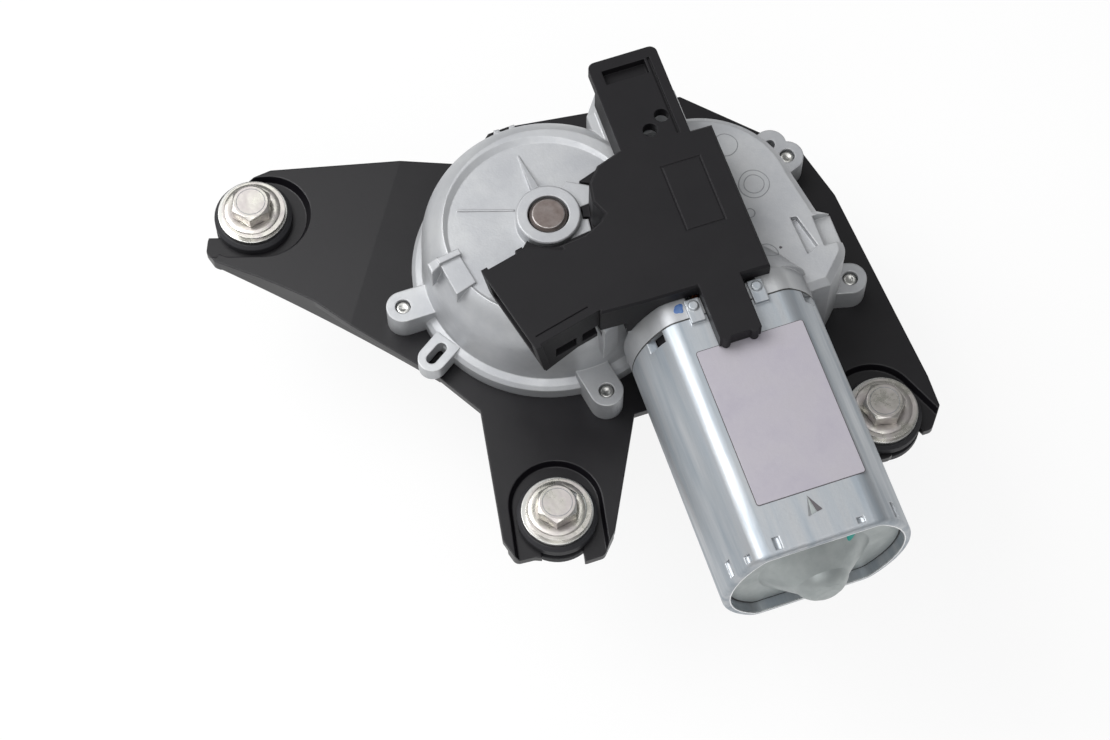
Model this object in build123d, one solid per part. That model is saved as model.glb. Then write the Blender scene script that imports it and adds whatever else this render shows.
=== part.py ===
"""Rear wiper motor: gear housing, worm drive, motor, electronics cover and three-arm bracket.

Millimetres, +Z up. The origin is on the output shaft's axis, where the shaft leaves its
bearing tower. The free end points down and the motor lies along -Y.
"""
import os
from math import cos, degrees, hypot, pi, radians, sin, sqrt, tan

from build123d import *

# Heights above the origin
PLATE_TOP = 24.0
PLATE_T = 2.5
PLATE_UNDER = PLATE_TOP - PLATE_T
FLANGE_TOP = PLATE_TOP + 5.0
EAR_TOP = PLATE_TOP + 8.7
SHOULDER_Z = PLATE_TOP + 19.5
DOME_TOP = PLATE_TOP + 30.5
BOSS_TOP = PLATE_TOP + 34.7
COVER_TOP = PLATE_TOP + 46.0
WORM_Z = PLATE_TOP + 21.0

# Worm gearing
MODULE = 1.0
WHEEL_TEETH = 59
WORM_PITCH_R = 4.25
WORM_PITCH = pi * MODULE
WORM_TIP_R = WORM_PITCH_R + 0.85 * MODULE
WORM_ROOT_R = WORM_PITCH_R - 1.25 * MODULE
WORM_TOOTH = 0.4 * WORM_PITCH
WORM_TURNS = 10
WHEEL_PITCH_R = MODULE * WHEEL_TEETH / 2
WHEEL_TIP_R = WHEEL_PITCH_R + 0.8 * MODULE
WHEEL_ROOT_R = WHEEL_PITCH_R - 1.25 * MODULE
WHEEL_TOOTH = 0.49 * WORM_PITCH
WHEEL_FACE = 9.0
PRESSURE_TAN = tan(radians(20))
LEAD_TAN = WORM_PITCH / (2 * pi * WORM_PITCH_R)
MOTOR_X = WHEEL_PITCH_R + WORM_PITCH_R

# Clearances
SLIP = 0.3
RUN = 0.04
SEAT = 0.1

# Gear housing casting
WALL = 2.6
CHAMBER_R = WHEEL_TIP_R + 1.2
DOME_R = CHAMBER_R + 2.3
DOME_FILLET = 6.0
FLANGE_LEDGE = 3.2
FLANGE_R = DOME_R + FLANGE_LEDGE
GASKET_OUTER = FLANGE_R - 1.4
GASKET_INNER = CHAMBER_R + 1.4
GASKET_DEPTH = 1.4
ROOF = 3.0
BOSS_R = 8.6
BOSS_LID = 2.5
FACE_R = 27.2
FACE_PLACE = (-1.5, -1.0)
FACE_DEEPEST = 0.9
FACE_FALL_DEG = 1.1
EAR_R = 4.5
SCREW_R = 2.1
SPARE_HOLE = (68.8, 13.5)
SPARE_HOLE_R = 1.4
TUNNEL_END_Y = 36.0
TUNNEL_HALF = 12.5
WORM_BORE_R = 6.4
END_WALL = 3.0
THRUST_T = 2.0
MOUTH_Y = -43.2
BLOCK_Y = -36.5
NECK_Y = -20.0
BODY_RIGHT = 71.4
BODY_FRONT = -40.5

# Ear screw places and the places of the three mounting bolts
EARS = [(-41.4, -0.8), (1.9, -41.7), (74.7, -31.8), (72.0, 8.7)]
MOUNTS = [(-70.7, 44.0, 162), (-20.8, -67.6, -101), (70.2, -68.4, -67)]

# The bend across the bracket's left arm: where it starts, and the way across it
BEND_START = (-27.5, 46.3)
BEND_ACROSS = (-0.840, 0.542)
BEND_DEG = 3.5

# Bracket fork and its rubber mount
FORK_HOLE_R = 7.6
FORK_MOUTH = 11.0
TIP_ROUND = 1.9
DISH_R = 14.0
DISH_DEPTH = 2.0
DISH_SHIFT = 3.0
LIP_R = 10.7
LIP_T = 3.2
SLEEVE_R = 5.0
SLEEVE_FLANGE_R = 9.5
SLEEVE_FLANGE_T = 1.5
BOLT_R = 3.0
BOLT_NECK_R = 2.6
BOLT_LENGTH = 26.0
THREAD_RELIEF = 1.0
SLEEVE_FOOT = 0.3
BOLT_WASHER_R = 8.7
BOLT_WASHER_T = 1.5
WASHER_SHIFT = 0.3
HEX_TURNS = (10, 10, 46)
HEX_FLATS = 10.0
HEX_H = 4.5

# Output shaft and bearing tower
SHAFT_R = 5.0
TOWER_MOUTH = 2.0
TOWER_R = 9.0
TOWER_FLANGE_R = 17.0
TOWER_FLANGE_T = 3.0
TOWER_INNER_TOP = PLATE_TOP + 4.0
TOWER_WEBS = 3
BUSH_R = 7.0
BUSH_LENGTH = 8.0
CIRCLIP_T = 1.0
FREE_LENGTH = 9.0
TAPER_LENGTH = 8.0
TAPER_END_R = 4.4
THREAD_R = 4.0
THREAD_LENGTH = 14.0
THREAD_PITCH = 1.25
RIVET_R = 2.0
RIVET_CIRCLE = 13.2

# Motor
YOKE_R = 25.5
YOKE_FLAT = 20.0
YOKE_CORNER = 5.5
YOKE_T = 2.0
YOKE_END_Y = -111.3
TAB_X = (25.1, 42.3)
CRIMPS = ((-1, 2.35, 4.4), (-1, 6.35, 2.2), (-1, 14.35, 3.4), (1, 14.85, 1.6), (1, 4.65, 4.4))
END_RECESS = 3.0
END_T = 1.5
CONE_R = 15.0
CONE_TIP_R = 5.2
CONE_TIP_Y = -118.5
REAR_BUSH_Y = -107.4
REAR_BUSH_R = 5.2
ARM_SHAFT_R = 4.0
ARM_END_R = 3.0
CORE_TO_FLAT = 1.0
AIR_GAP = 0.8
CORE_R = YOKE_FLAT - YOKE_T - CORE_TO_FLAT
CORE_FRONT_Y = -61.0
CORE_LENGTH = 36.0
CORE_SLOTS = 12
COMM_R = 9.0
COMM_Y = -57.5
COMM_LENGTH = 10.0
COMM_BARS = 12
BRUSH_IN = COMM_R + 0.1
BRUSH_Y = -52.5
BRUSH_W = 6.0
BRUSH_H = 5.0
BRUSH_SPRING_LENGTH = 4.4
BRUSH_SPRING_R = 1.9
BRUSH_WIRE_R = 0.25
HOLDER_T = 2.0
HOLDER_BACK = YOKE_R - YOKE_T - 1.4
HOLDER_END = 1.0
BRUSH_LENGTH = HOLDER_BACK - HOLDER_END - BRUSH_IN - BRUSH_SPRING_LENGTH - 2 * BRUSH_WIRE_R - SEAT

# Electronics cover
COVER_T = 2.2
COVER_BASE = DOME_TOP + 0.3
CONN_ANGLE = 13.5
CONN_PLACE = (-20.4, -28.3)
CONN_WIDTH = 25.0
CONN_BASE = DOME_TOP + 0.9
CONN_TOP = COVER_TOP
CONN_DEPTH = 13.0
CONN_LEAN = 2.4
CONN_WINDOWS = ((6.4, 12.6), (14.4, 19.4))
CONN_PINS = 5
PIN_PITCH = 3.8
PIN_TAIL_PITCH = 2.3
PIN_TAIL_SHIFT = -3.6
PIN_TAIL_X = 33.0
PIN_W = 1.6
PIN_T = 0.8
BOARD_T = 1.6
BOARD_Z = DOME_TOP + 4.0
TONGUE_X = (27.6, 38.8)
TONGUE_END_Y = -53.4
ARM_X = (21.9, 41.0)
ARM_END_Y = 33.0
ARM_T = 3.5
ARM_DEPTH = 10.0

# Pieces of their own
PIN_ON_NECK_R = 1.2
EAR_SCREW_HEAD_R = 4.4
EAR_SCREW_HEAD_T = 2.6


# Helpers
def disc(radius, z0, z1, x=0.0, y=0.0):
    base = Cylinder(radius, z1 - z0, align=(Align.CENTER, Align.CENTER, Align.MIN))
    return Pos(x, y, z0) * base


def ring(outer, inner, z0, z1, x=0.0, y=0.0):
    return disc(outer, z0, z1, x, y) - disc(inner, z0 - 1, z1 + 1, x, y)


def block(x0, x1, y0, y1, z0, z1):
    size = Box(x1 - x0, y1 - y0, z1 - z0)
    return Pos((x0 + x1) / 2, (y0 + y1) / 2, (z0 + z1) / 2) * size


def prism(points, z0, z1):
    face = Polygon(*points, align=None)
    return Pos(0, 0, z0) * extrude(face, amount=z1 - z0, dir=(0, 0, 1))


def rounded_prism(points, corners, radius, z0, z1):
    """A prism whose chosen corners are rounded in plan."""
    face = Polygon(*points, align=None)
    chosen = []
    for vertex in face.vertices():
        if any(hypot(vertex.X - x, vertex.Y - y) < 0.01 for x, y in corners):
            chosen.append(vertex)
    face = fillet(chosen, radius)
    return Pos(0, 0, z0) * extrude(face, amount=z1 - z0, dir=(0, 0, 1))


def motor_plane(y):
    """A plane across the motor's axis, whose normal points along -Y."""
    return Plane(origin=(MOTOR_X, y, WORM_Z), x_dir=(1, 0, 0), z_dir=(0, -1, 0))


def along(sketch, y0, length):
    """A sketch across the motor's axis, carried length mm towards -Y."""
    return extrude(motor_plane(y0) * sketch, amount=length)


def rod(radius, y0, y1):
    return along(Circle(radius), max(y0, y1), abs(y1 - y0))


def double_d(inset=0.0):
    """The motor case's outline, inset all round by the given amount."""
    outline = Circle(YOKE_R - inset) & Rectangle(2 * YOKE_R, 2 * (YOKE_FLAT - inset))
    return fillet(outline.vertices(), YOKE_CORNER - inset)


def spun(points):
    """A solid turned about the motor's axis from (y, radius) points."""
    profile = Polygon(*[(radius, -y) for y, radius in points], align=None)
    turned = revolve(Plane.XZ * profile, axis=Axis.Z)
    return Pos(MOTOR_X, 0, WORM_Z) * (Rot(90, 0, 0) * turned)


def turned(points, x=0.0, y=0.0):
    """A solid turned about a vertical axis from (radius, z) points."""
    profile = Plane.XZ * Polygon(*points, align=None)
    return Pos(x, y, 0) * revolve(profile, axis=Axis.Z)


def polar(radius, angle, x=0.0, y=0.0):
    return x + radius * cos(radians(angle)), y + radius * sin(radians(angle))


def union(solids):
    total = solids[0]
    for solid in solids[1:]:
        total = total + solid
    return total


# Gear housing casting
def housing_dome():
    with BuildSketch(Plane.XZ) as profile:
        with BuildLine():
            Polyline((0, PLATE_TOP), (FLANGE_R, PLATE_TOP), (FLANGE_R, FLANGE_TOP - 1),
                     (FLANGE_R - 1, FLANGE_TOP), (DOME_R + 0.4, FLANGE_TOP + 1),
                     (DOME_R, SHOULDER_Z))
            rise = DOME_TOP - SHOULDER_Z
            round_r = (DOME_FILLET ** 2 + rise ** 2) / (2 * DOME_FILLET)
            RadiusArc((DOME_R, SHOULDER_Z), (DOME_R - DOME_FILLET, DOME_TOP), -round_r)
            Polyline((DOME_R - DOME_FILLET, DOME_TOP), (0, DOME_TOP), (0, PLATE_TOP))
        make_face()
    solid = revolve(profile.sketch, axis=Axis.Z)
    return solid - sunk_face()


def sunk_face():
    """The shallow pan in the dome's top, deepest at the back and running out at the front."""
    edge = 2 * FACE_DEEPEST
    pan = turned([(0, 0), (FACE_R - edge, 0), (FACE_R, FACE_DEEPEST), (FACE_R + 1.5, 4), (0, 4)])
    middle = FACE_DEEPEST - FACE_R * tan(radians(FACE_FALL_DEG))
    tilt = Rot(0, 0, 17) * Rot(-FACE_FALL_DEG, 0, 0)
    return Pos(*FACE_PLACE, DOME_TOP - middle) * tilt * pan


def housing_body():
    """The right-hand part of the casting, beside the worm."""
    with BuildSketch() as outline:
        with BuildLine():
            Polyline((20, 18.5), (20, BODY_FRONT), (64.0, BODY_FRONT), (BODY_RIGHT, -33.0),
                     (BODY_RIGHT, -21.0), (68.2, -19.0), (66.0, -6.0))
            ThreePointArc((66.0, -6.0), (58.6, 11.2), (44.5, 18.5))
            Line((44.5, 18.5), (20, 18.5))
        make_face()
        corner = outline.vertices().sort_by_distance((BODY_RIGHT, -33.0))[0]
        fillet(corner, 5.0)
    bevel = 1.8
    top = DOME_TOP - 0.5 - bevel
    solid = Pos(0, 0, PLATE_TOP) * extrude(outline.sketch, amount=top - PLATE_TOP)
    return solid + Pos(0, 0, top) * extrude(outline.sketch, amount=bevel, taper=45)


def housing_tunnel():
    """The closed end of the worm's tunnel, under the cover's arm."""
    left = MOTOR_X - TUNNEL_HALF - 0.8
    right = MOTOR_X + TUNNEL_HALF - 0.8
    outline = [(left, 10), (left, 28), (left + 6, TUNNEL_END_Y),
               (right - 6, TUNNEL_END_Y), (right, 28), (right, 10)]
    solid = prism(outline, PLATE_TOP + 6, DOME_TOP - 1)
    top = solid.faces().sort_by(Axis.Z)[-1]
    return chamfer(top.edges(), 2.0)


def housing_motor_block():
    """The double-D block that carries the motor, and the neck behind it."""
    block_solid = along(double_d(), BLOCK_Y, BLOCK_Y - MOUTH_Y)
    big = motor_plane(BLOCK_Y) * RectangleRounded(2 * YOKE_R - 2, 2 * YOKE_FLAT - 1, 11)
    small = Plane(origin=(MOTOR_X + 1, NECK_Y, PLATE_TOP + 15), x_dir=(1, 0, 0),
                  z_dir=(0, -1, 0)) * RectangleRounded(34, 28, 8)
    neck = loft([small, big], ruled=True)
    return block_solid + neck


def ear(x, y, angle, reach):
    """A screw ear whose root lies towards the given angle."""
    arm = Pos(reach / 2, 0, 0) * Rectangle(reach, 2 * EAR_R)
    shape = Circle(EAR_R) + arm
    solid = extrude(shape, amount=EAR_TOP - PLATE_TOP)
    return Pos(x, y, PLATE_TOP) * (Rot(0, 0, angle) * solid)


def slotted_lug():
    lug_r, slot_r, reach, height = 3.9, 1.5, 7.0, 5.0
    outline = Circle(lug_r) + Pos(reach / 2, 0) * Rectangle(reach, 2 * lug_r)
    slot = Pos(1.8, 0) * SlotOverall(7.0, 2 * slot_r)
    solid = extrude(outline, amount=height) - extrude(slot, amount=height)
    return Pos(-38.4, -16.6, PLATE_TOP + 1) * (Rot(0, 0, 33) * solid)


def boss_rib():
    """The rib behind the boss, which tapers to nothing in height and width."""
    side = Polygon((BOSS_R - 1, DOME_TOP - 1.2), (21.6, DOME_TOP - 1.2), (21.6, DOME_TOP - 0.7),
                   (BOSS_R - 1, DOME_TOP + 2.6), align=None)
    plan = prism([(-1.5, BOSS_R - 1), (0.9, BOSS_R - 1), (-0.9, 21.5), (-1.3, 21.5)],
                 DOME_TOP - 2, COVER_TOP)
    return extrude(Plane.YZ * side, amount=3, both=True) & plan


def clip_seat():
    """The low bent wall, its end block and the raised pad on the dome's left shoulder."""
    wall = Pos(-28.1, -1.9, DOME_TOP - 1.0) * (Rot(0, 0, 9) * Box(6.4, 1.7, 5.0))
    stop = prism([(-34.1, -1.9), (-30.9, -0.8), (-30.2, -3.2), (-33.8, -5.2)],
                 DOME_TOP - 6, DOME_TOP + 1.0)
    pad = prism([(-30.9, -3.0), (-25.2, -2.2), (-23.6, -10.9), (-29.5, -12.7)],
                DOME_TOP - 5, DOME_TOP + 0.5)
    return [wall, chamfer(stop.faces().sort_by(Axis.Z)[-1].edges(), 0.3), pad]


def neck_pin():
    """The short pin that lies on the neck and runs under the cover's front edge."""
    place = Plane(origin=(2.2, -36.2, DOME_TOP + 3.6), x_dir=(0, 0, 1), z_dir=(0.92, 0.38, 0))
    pin = extrude(place * Circle(PIN_ON_NECK_R), amount=6.0)
    web = prism([(2.6, -36.7), (7.2, -34.8), (6.9, -34.0), (2.3, -35.9)], DOME_TOP - 4,
                DOME_TOP + 3.2)
    foot = prism([(2.6, -36.7), (7.2, -34.8), (6.4, -31.0), (2.2, -31.5)], PLATE_TOP + 18,
                 DOME_TOP - 2)
    return pin + web + foot


def housing_surface_details():
    ridge = Pos(-14.5, 8.6, DOME_TOP - 0.5) * (Rot(0, 0, -18.5) * Box(15, 0.5, 0.6))
    rear_lug = block(-1.4, 4.6, 34, 42.6, PLATE_TOP + 2, PLATE_TOP + 8)
    notch = disc(1.5, PLATE_TOP, PLATE_TOP + 9, 1.6, 42.6)
    return [boss_rib(), ridge, rear_lug - notch, neck_pin()] + clip_seat()


def boss_pads(gap=0.0):
    """Two raised pads beside the boss, or with a gap the openings in the cover that show them."""
    upper = Polygon((8.0, 0.2), (12.9, 0.6), (13.2, 5.6), (8.0, 8.6), (5.4, 6.6), align=None)
    lower = Polygon((3.0, -8.0), (9.4, -7.2), (9.8, -3.8), (7.8, -3.2), align=None)
    pads = []
    for outline in (upper, lower):
        shape = offset(outline, gap) if gap else outline
        pads.append(Pos(0, 0, DOME_TOP - 1) * extrude(shape, amount=3.2 + 3 * gap, dir=(0, 0, 1)))
    return pads


def body_pocket():
    """The trench and stepped pocket beside the body's right edge."""
    trench = prism([(60.6, -19.3), (62.3, -19.6), (64.6, -29.4), (61.2, -30.9)],
                   DOME_TOP - 2.6, DOME_TOP + 1)
    step = block(66.2, 74, -30.0, -20.8, DOME_TOP - 3.4, DOME_TOP + 1)
    return trench + step


def shaft_boss():
    top = disc(BOSS_R, DOME_TOP - ROOF, BOSS_TOP)
    return chamfer(top.faces().sort_by(Axis.Z)[-1].edges(), 0.4)


def gear_housing():
    outer = [housing_dome(), housing_body(), housing_tunnel(), housing_motor_block(),
             shaft_boss(), slotted_lug()]
    outer += [ear(*EARS[0], 0, 10), ear(*EARS[1], 100, 12),
              ear(*EARS[2], 165, 9), ear(*EARS[3], 200, 9)]
    second_ear = ear(*SPARE_HOLE, 225, 9)
    outer += [second_ear]
    outer += housing_surface_details()
    outer += boss_pads()
    solid = union(outer)

    ceiling = DOME_TOP - ROOF
    solid -= turned([(0, PLATE_TOP - 1), (CHAMBER_R, PLATE_TOP - 1), (CHAMBER_R, ceiling - 2.4),
                     (CHAMBER_R - 2.4, ceiling), (0, ceiling)])
    body_hollow = prism([(30, -18), (30, 12), (52, 10), (61, -2), (64, -18), (64, -30), (46, -32),
                         (46, -18)], PLATE_TOP, DOME_TOP - ROOF - 0.5)
    tunnel_core = along(Circle(WORM_BORE_R + WALL), TUNNEL_END_Y - END_WALL, 70)
    solid -= body_hollow - tunnel_core
    solid -= body_pocket()
    solid -= rod(WORM_BORE_R, MOUTH_Y - 1, TUNNEL_END_Y - END_WALL)
    solid -= along(double_d(3.2), MOUTH_Y + 5.0, 6.0)
    solid -= block(24, 43, BLOCK_Y - 2, -31.5, WORM_Z + 8, COVER_TOP)
    solid -= disc(BUSH_R, DOME_TOP - ROOF - 1, BOSS_TOP - BOSS_LID)
    solid -= disc(SHAFT_R + 0.5, DOME_TOP - ROOF - 1, BOSS_TOP + 1)
    for x, y in EARS:
        solid -= disc(SCREW_R, PLATE_TOP - 1, EAR_TOP + 1, x, y)
    solid -= disc(SPARE_HOLE_R, PLATE_TOP - 1, EAR_TOP + 1, *SPARE_HOLE)
    solid -= ring(GASKET_OUTER, GASKET_INNER, PLATE_TOP - 1, PLATE_TOP + GASKET_DEPTH)
    return solid


def housing_gasket():
    return ring(GASKET_OUTER - SEAT, GASKET_INNER + SEAT, PLATE_TOP, PLATE_TOP + GASKET_DEPTH)


def screw_heads_under(x, y):
    head = disc(EAR_SCREW_HEAD_R, PLATE_UNDER - EAR_SCREW_HEAD_T, PLATE_UNDER, x, y)
    head = chamfer(head.faces().sort_by(Axis.Z)[0].edges(), 0.6)
    socket = extrude(RegularPolygon(1.7, 6), amount=1.6)
    shank = disc(SCREW_R - SEAT, PLATE_UNDER - 0.5, EAR_TOP - 1.0, x, y)
    shank = chamfer(shank.faces().sort_by(Axis.Z)[-1].edges(), 0.7)
    return head + shank - Pos(x, y, PLATE_UNDER - EAR_SCREW_HEAD_T) * socket


def housing_screws():
    return [screw_heads_under(x, y) for x, y in EARS]


# Bracket
def seat_top(x, y):
    """The height of the fork's floor, which drops with the tilted left arm."""
    past_bend = (x - BEND_START[0]) * BEND_ACROSS[0] + (y - BEND_START[1]) * BEND_ACROSS[1]
    drop = max(past_bend, 0) * tan(radians(BEND_DEG))
    return PLATE_TOP - DISH_DEPTH - drop


def bend_frame():
    """The tilted plane of the left arm's top face, hinged on the bend line."""
    across = Vector(*BEND_ACROSS, 0)
    fall = radians(BEND_DEG)
    down = Vector(across.X * cos(fall), across.Y * cos(fall), -sin(fall))
    up = down.cross(Vector(across.Y, -across.X, 0))
    return Plane(origin=(*BEND_START, PLATE_TOP), x_dir=down, z_dir=up if up.Z > 0 else up * -1)


def arm_outlines():
    centre = [(-27.5, 46.3), (-13.4, 40.4), (-7.0, 41.8), (-1.8, 46.4), (4.0, 46.8),
              (52.6, 40.2), (70.8, 21.1), (78.3, 13.5), (82.3, -2.8), (84.6, -40.0),
              (86.0, -62.0), (85.8, -71.0), (81.8, -76.0), (76.5, -76.0), (68.0, -80.0),
              (61.0, -79.5), (56.0, -72.0), (54.5, -47.0), (8.0, -47.0), (-7.9, -76.6),
              (-12.5, -81.6), (-17.5, -81.6), (-30.0, -76.2), (-35.0, -75.8), (-36.6, -69.7),
              (-30.4, -32.5), (-37.6, -20.1), (-55.6, 2.7)]
    left = [(-27.5, 46.3), (-62.1, 56.2), (-69.5, 55.6), (-77.4, 52.1), (-79.2, 49.2),
            (-84.6, 41.8), (-86.0, 38.5), (-84.8, 34.5), (-65.3, 17.0), (-55.6, 2.7)]
    return centre, left


def fork_recess(x, y, angle):
    """The U-shaped pan that a rubber mount sits in, and what it takes out of the plate."""
    back_x, back_y = polar(-DISH_SHIFT, angle, x, y)
    reach = 30.0
    shape = Circle(DISH_R) + Pos(reach / 2, 0) * Rectangle(reach, 2 * DISH_R)
    inner = Circle(DISH_R - PLATE_T) + Pos(reach / 2, 0) * Rectangle(reach, 2 * DISH_R - 2 * PLATE_T)
    seat = seat_top(x, y)
    taken = Pos(0, 0, PLATE_TOP - 12) * extrude(shape, amount=18)
    pan = Pos(0, 0, seat - PLATE_T) * extrude(shape, amount=PLATE_TOP - seat + PLATE_T)
    hollow = Pos(0, 0, seat) * extrude(inner, amount=10, taper=-25)
    place = Pos(back_x, back_y, 0) * Rot(0, 0, angle)
    return place * taken, place * (pan - hollow)


def fork_gap(x, y, angle):
    mouth = Pos(20, 0, 0) * Box(40, FORK_MOUTH, 60)
    return Pos(x, y, PLATE_TOP) * (Rot(0, 0, angle) * (mouth + Cylinder(FORK_HOLE_R, 60)))


def arm_flange():
    """The lip turned down along the left arm's lower edge, deepest in its middle."""
    start, middle, end = (-84.8, 34.5), (-64.2, 14.8), (-37.6, -20.1)
    shift = (PLATE_T * 0.75, PLATE_T * 0.66)
    back = [(px + shift[0], py + shift[1]) for px, py in (start, middle, end)]
    with BuildSketch() as strip:
        with BuildLine():
            ThreePointArc(start, middle, end)
            Line(end, back[2])
            ThreePointArc(back[2], back[1], back[0])
            Line(back[0], start)
        make_face()
    wall = Pos(0, 0, PLATE_TOP - 12) * extrude(strip.sketch, amount=12)
    length = ((end[0] - start[0]) ** 2 + (end[1] - start[1]) ** 2) ** 0.5
    run = Vector(end[0] - start[0], end[1] - start[1], 0).normalized()
    side = Plane(origin=(start[0], start[1], PLATE_TOP), x_dir=run, z_dir=run.cross(Vector(0, 0, 1)))
    with BuildSketch(side) as lens:
        with BuildLine():
            Polyline((-3, 3), (-3, -5.0))
            ThreePointArc((-3, -5.0), (length * 0.5, -9.5), (length + 3, -2.0))
            Polyline((length + 3, -2.0), (length + 3, 3), (-3, 3))
        make_face()
    return wall & extrude(lens.sketch, amount=25, both=True)


def mounting_bracket():
    centre, left = arm_outlines()
    tilted = bend_frame()
    slab = extrude(tilted * (Pos(0, 0) * Rectangle(400, 400)), amount=-PLATE_T)
    above = extrude(tilted * Rectangle(400, 400), amount=30)
    tips = [corner for corner in centre if corner[1] < -75] + [corner for corner in left
                                                              if corner[0] < -77]
    plate = rounded_prism(centre, tips, TIP_ROUND, PLATE_UNDER, PLATE_TOP)
    arm = rounded_prism(left, tips, TIP_ROUND, PLATE_TOP - 20, PLATE_TOP + 5) & slab
    solid = plate + arm
    whole = rounded_prism(centre, tips, TIP_ROUND, 0, PLATE_TOP + 5)
    whole += rounded_prism(left, tips, TIP_ROUND, 0, PLATE_TOP + 5)
    for x, y, angle in MOUNTS:
        taken, pan = fork_recess(x, y, angle)
        pan = pan & whole
        if x < -50:
            pan = pan - above
        solid = solid - taken + pan
    solid = solid + (arm_flange() - above)
    for x, y, angle in MOUNTS:
        solid -= fork_gap(x, y, angle)
    solid -= disc(TOWER_R + SLIP, 0, PLATE_TOP + 1)
    for x, y in EARS:
        solid -= disc(SCREW_R + SLIP, 0, PLATE_TOP + 1, x, y)
    for place in rivet_places():
        solid -= disc(RIVET_R + SEAT, 0, PLATE_TOP + 1, *place)
    return solid


def rivet_places():
    return [polar(RIVET_CIRCLE, 90 + 120 * turn) for turn in range(3)]


# Rubber mounts
def grommet(x, y):
    seat = seat_top(x, y)
    low = seat - PLATE_T - LIP_T
    high = seat + LIP_T
    waist = FORK_HOLE_R - SLIP
    bore = SLEEVE_R + SEAT
    round_in = 0.9
    profile = [(bore, low), (LIP_R - round_in, low), (LIP_R, low + round_in),
               (LIP_R, seat - PLATE_T), (waist, seat - PLATE_T), (waist, seat),
               (LIP_R, seat), (LIP_R, high - round_in), (LIP_R - round_in, high),
               (bore, high)]
    return turned(profile, x, y)


def sleeve_low(x, y):
    return seat_top(x, y) - PLATE_T - LIP_T - SLEEVE_FOOT


def spacer_sleeve(x, y):
    low = sleeve_low(x, y)
    high = seat_top(x, y) + LIP_T
    bore = BOLT_R + SLIP
    profile = [(bore, low), (SLEEVE_R, low), (SLEEVE_R, high), (SLEEVE_FLANGE_R - 0.4, high),
               (SLEEVE_FLANGE_R, high + 0.4), (SLEEVE_FLANGE_R, high + SLEEVE_FLANGE_T),
               (bore, high + SLEEVE_FLANGE_T)]
    return turned(profile, x, y)


def bolt_washer(x, y):
    low = seat_top(x, y) + LIP_T + SLEEVE_FLANGE_T
    return ring(BOLT_WASHER_R, BOLT_R + SLIP, low, low + BOLT_WASHER_T,
                x + WASHER_SHIFT, y - WASHER_SHIFT)


def mounting_bolt(x, y, turn):
    seat = seat_top(x, y) + LIP_T + SLEEVE_FLANGE_T + BOLT_WASHER_T
    corner_r = HEX_FLATS / (2 * cos(radians(30)))
    head = extrude(RegularPolygon(corner_r, 6), amount=HEX_H)
    cap = turned([(0, -1), (corner_r + 1, -1), (corner_r + 1, HEX_H - 1.1),
                  (HEX_FLATS / 2 - 0.3, HEX_H), (0, HEX_H)])
    head = Pos(x, y, seat) * (Rot(0, 0, turn) * (head & cap))
    thread_top = sleeve_low(x, y) - THREAD_RELIEF
    tip = seat - BOLT_LENGTH
    shank = turned([(0, seat + 0.5), (BOLT_NECK_R, seat + 0.5), (BOLT_NECK_R, thread_top + 0.4),
                    (BOLT_R, thread_top), (BOLT_R, tip + 1), (BOLT_R - 1, tip), (0, tip)], x, y)
    return head + shank


# Output shaft and its bearings
def output_shaft():
    top = BOSS_TOP + 0.2
    taper_top = -FREE_LENGTH
    taper_end = taper_top - TAPER_LENGTH
    tip = taper_end - THREAD_LENGTH
    points = [(0, tip), (THREAD_R - 1, tip), (THREAD_R, tip + 1), (THREAD_R, taper_end),
              (TAPER_END_R, taper_end), (SHAFT_R, taper_top), (SHAFT_R, top - 0.8),
              (SHAFT_R - 0.8, top), (0, top)]
    shaft = turned(points)
    groove = ring(SHAFT_R + 1, SHAFT_R - 0.7, TOWER_MOUTH - 1.5, TOWER_MOUTH - 1.5 + CIRCLIP_T)
    shaft -= groove
    turns = int((THREAD_LENGTH - 2) / THREAD_PITCH)
    for turn in range(turns):
        z = tip + 1.5 + turn * THREAD_PITCH
        shaft -= turned([(THREAD_R + 0.1, z - 0.35), (THREAD_R - 0.45, z),
                         (THREAD_R + 0.1, z + 0.35)])
    return shaft


def bearing_tower():
    inner = BUSH_R
    profile = [(inner, TOWER_MOUTH), (TOWER_R - 1, TOWER_MOUTH), (TOWER_R, TOWER_MOUTH + 4),
               (TOWER_R, PLATE_UNDER - TOWER_FLANGE_T - 1),
               (TOWER_R + 1, PLATE_UNDER - TOWER_FLANGE_T),
               (TOWER_FLANGE_R, PLATE_UNDER - TOWER_FLANGE_T), (TOWER_FLANGE_R, PLATE_UNDER),
               (TOWER_R, PLATE_UNDER), (TOWER_R, TOWER_INNER_TOP), (inner, TOWER_INNER_TOP)]
    tower = turned(profile)
    web_shape = Polygon((TOWER_R - 1, PLATE_UNDER - 1), (TOWER_R - 1, PLATE_UNDER - 13),
                        (TOWER_FLANGE_R - 2, PLATE_UNDER - 1), align=None)
    web = extrude(Plane.XZ * web_shape, amount=0.9, both=True)
    for turn in range(TOWER_WEBS):
        tower += Rot(0, 0, 30 + 360 / TOWER_WEBS * turn) * web
    for place in rivet_places():
        tower -= disc(RIVET_R + SEAT, 0, PLATE_TOP, *place)
    return tower


def tower_rivet(x, y):
    low = PLATE_UNDER - TOWER_FLANGE_T
    body = disc(RIVET_R, low, PLATE_TOP, x, y)
    head = disc(RIVET_R + 1.4, PLATE_TOP, PLATE_TOP + 1.2, x, y)
    foot = disc(RIVET_R + 1.2, low - 1.2, low, x, y)
    return body + head + foot


def shaft_bush(z0, length):
    return ring(BUSH_R - SEAT, SHAFT_R + RUN, z0, z0 + length)


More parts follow.
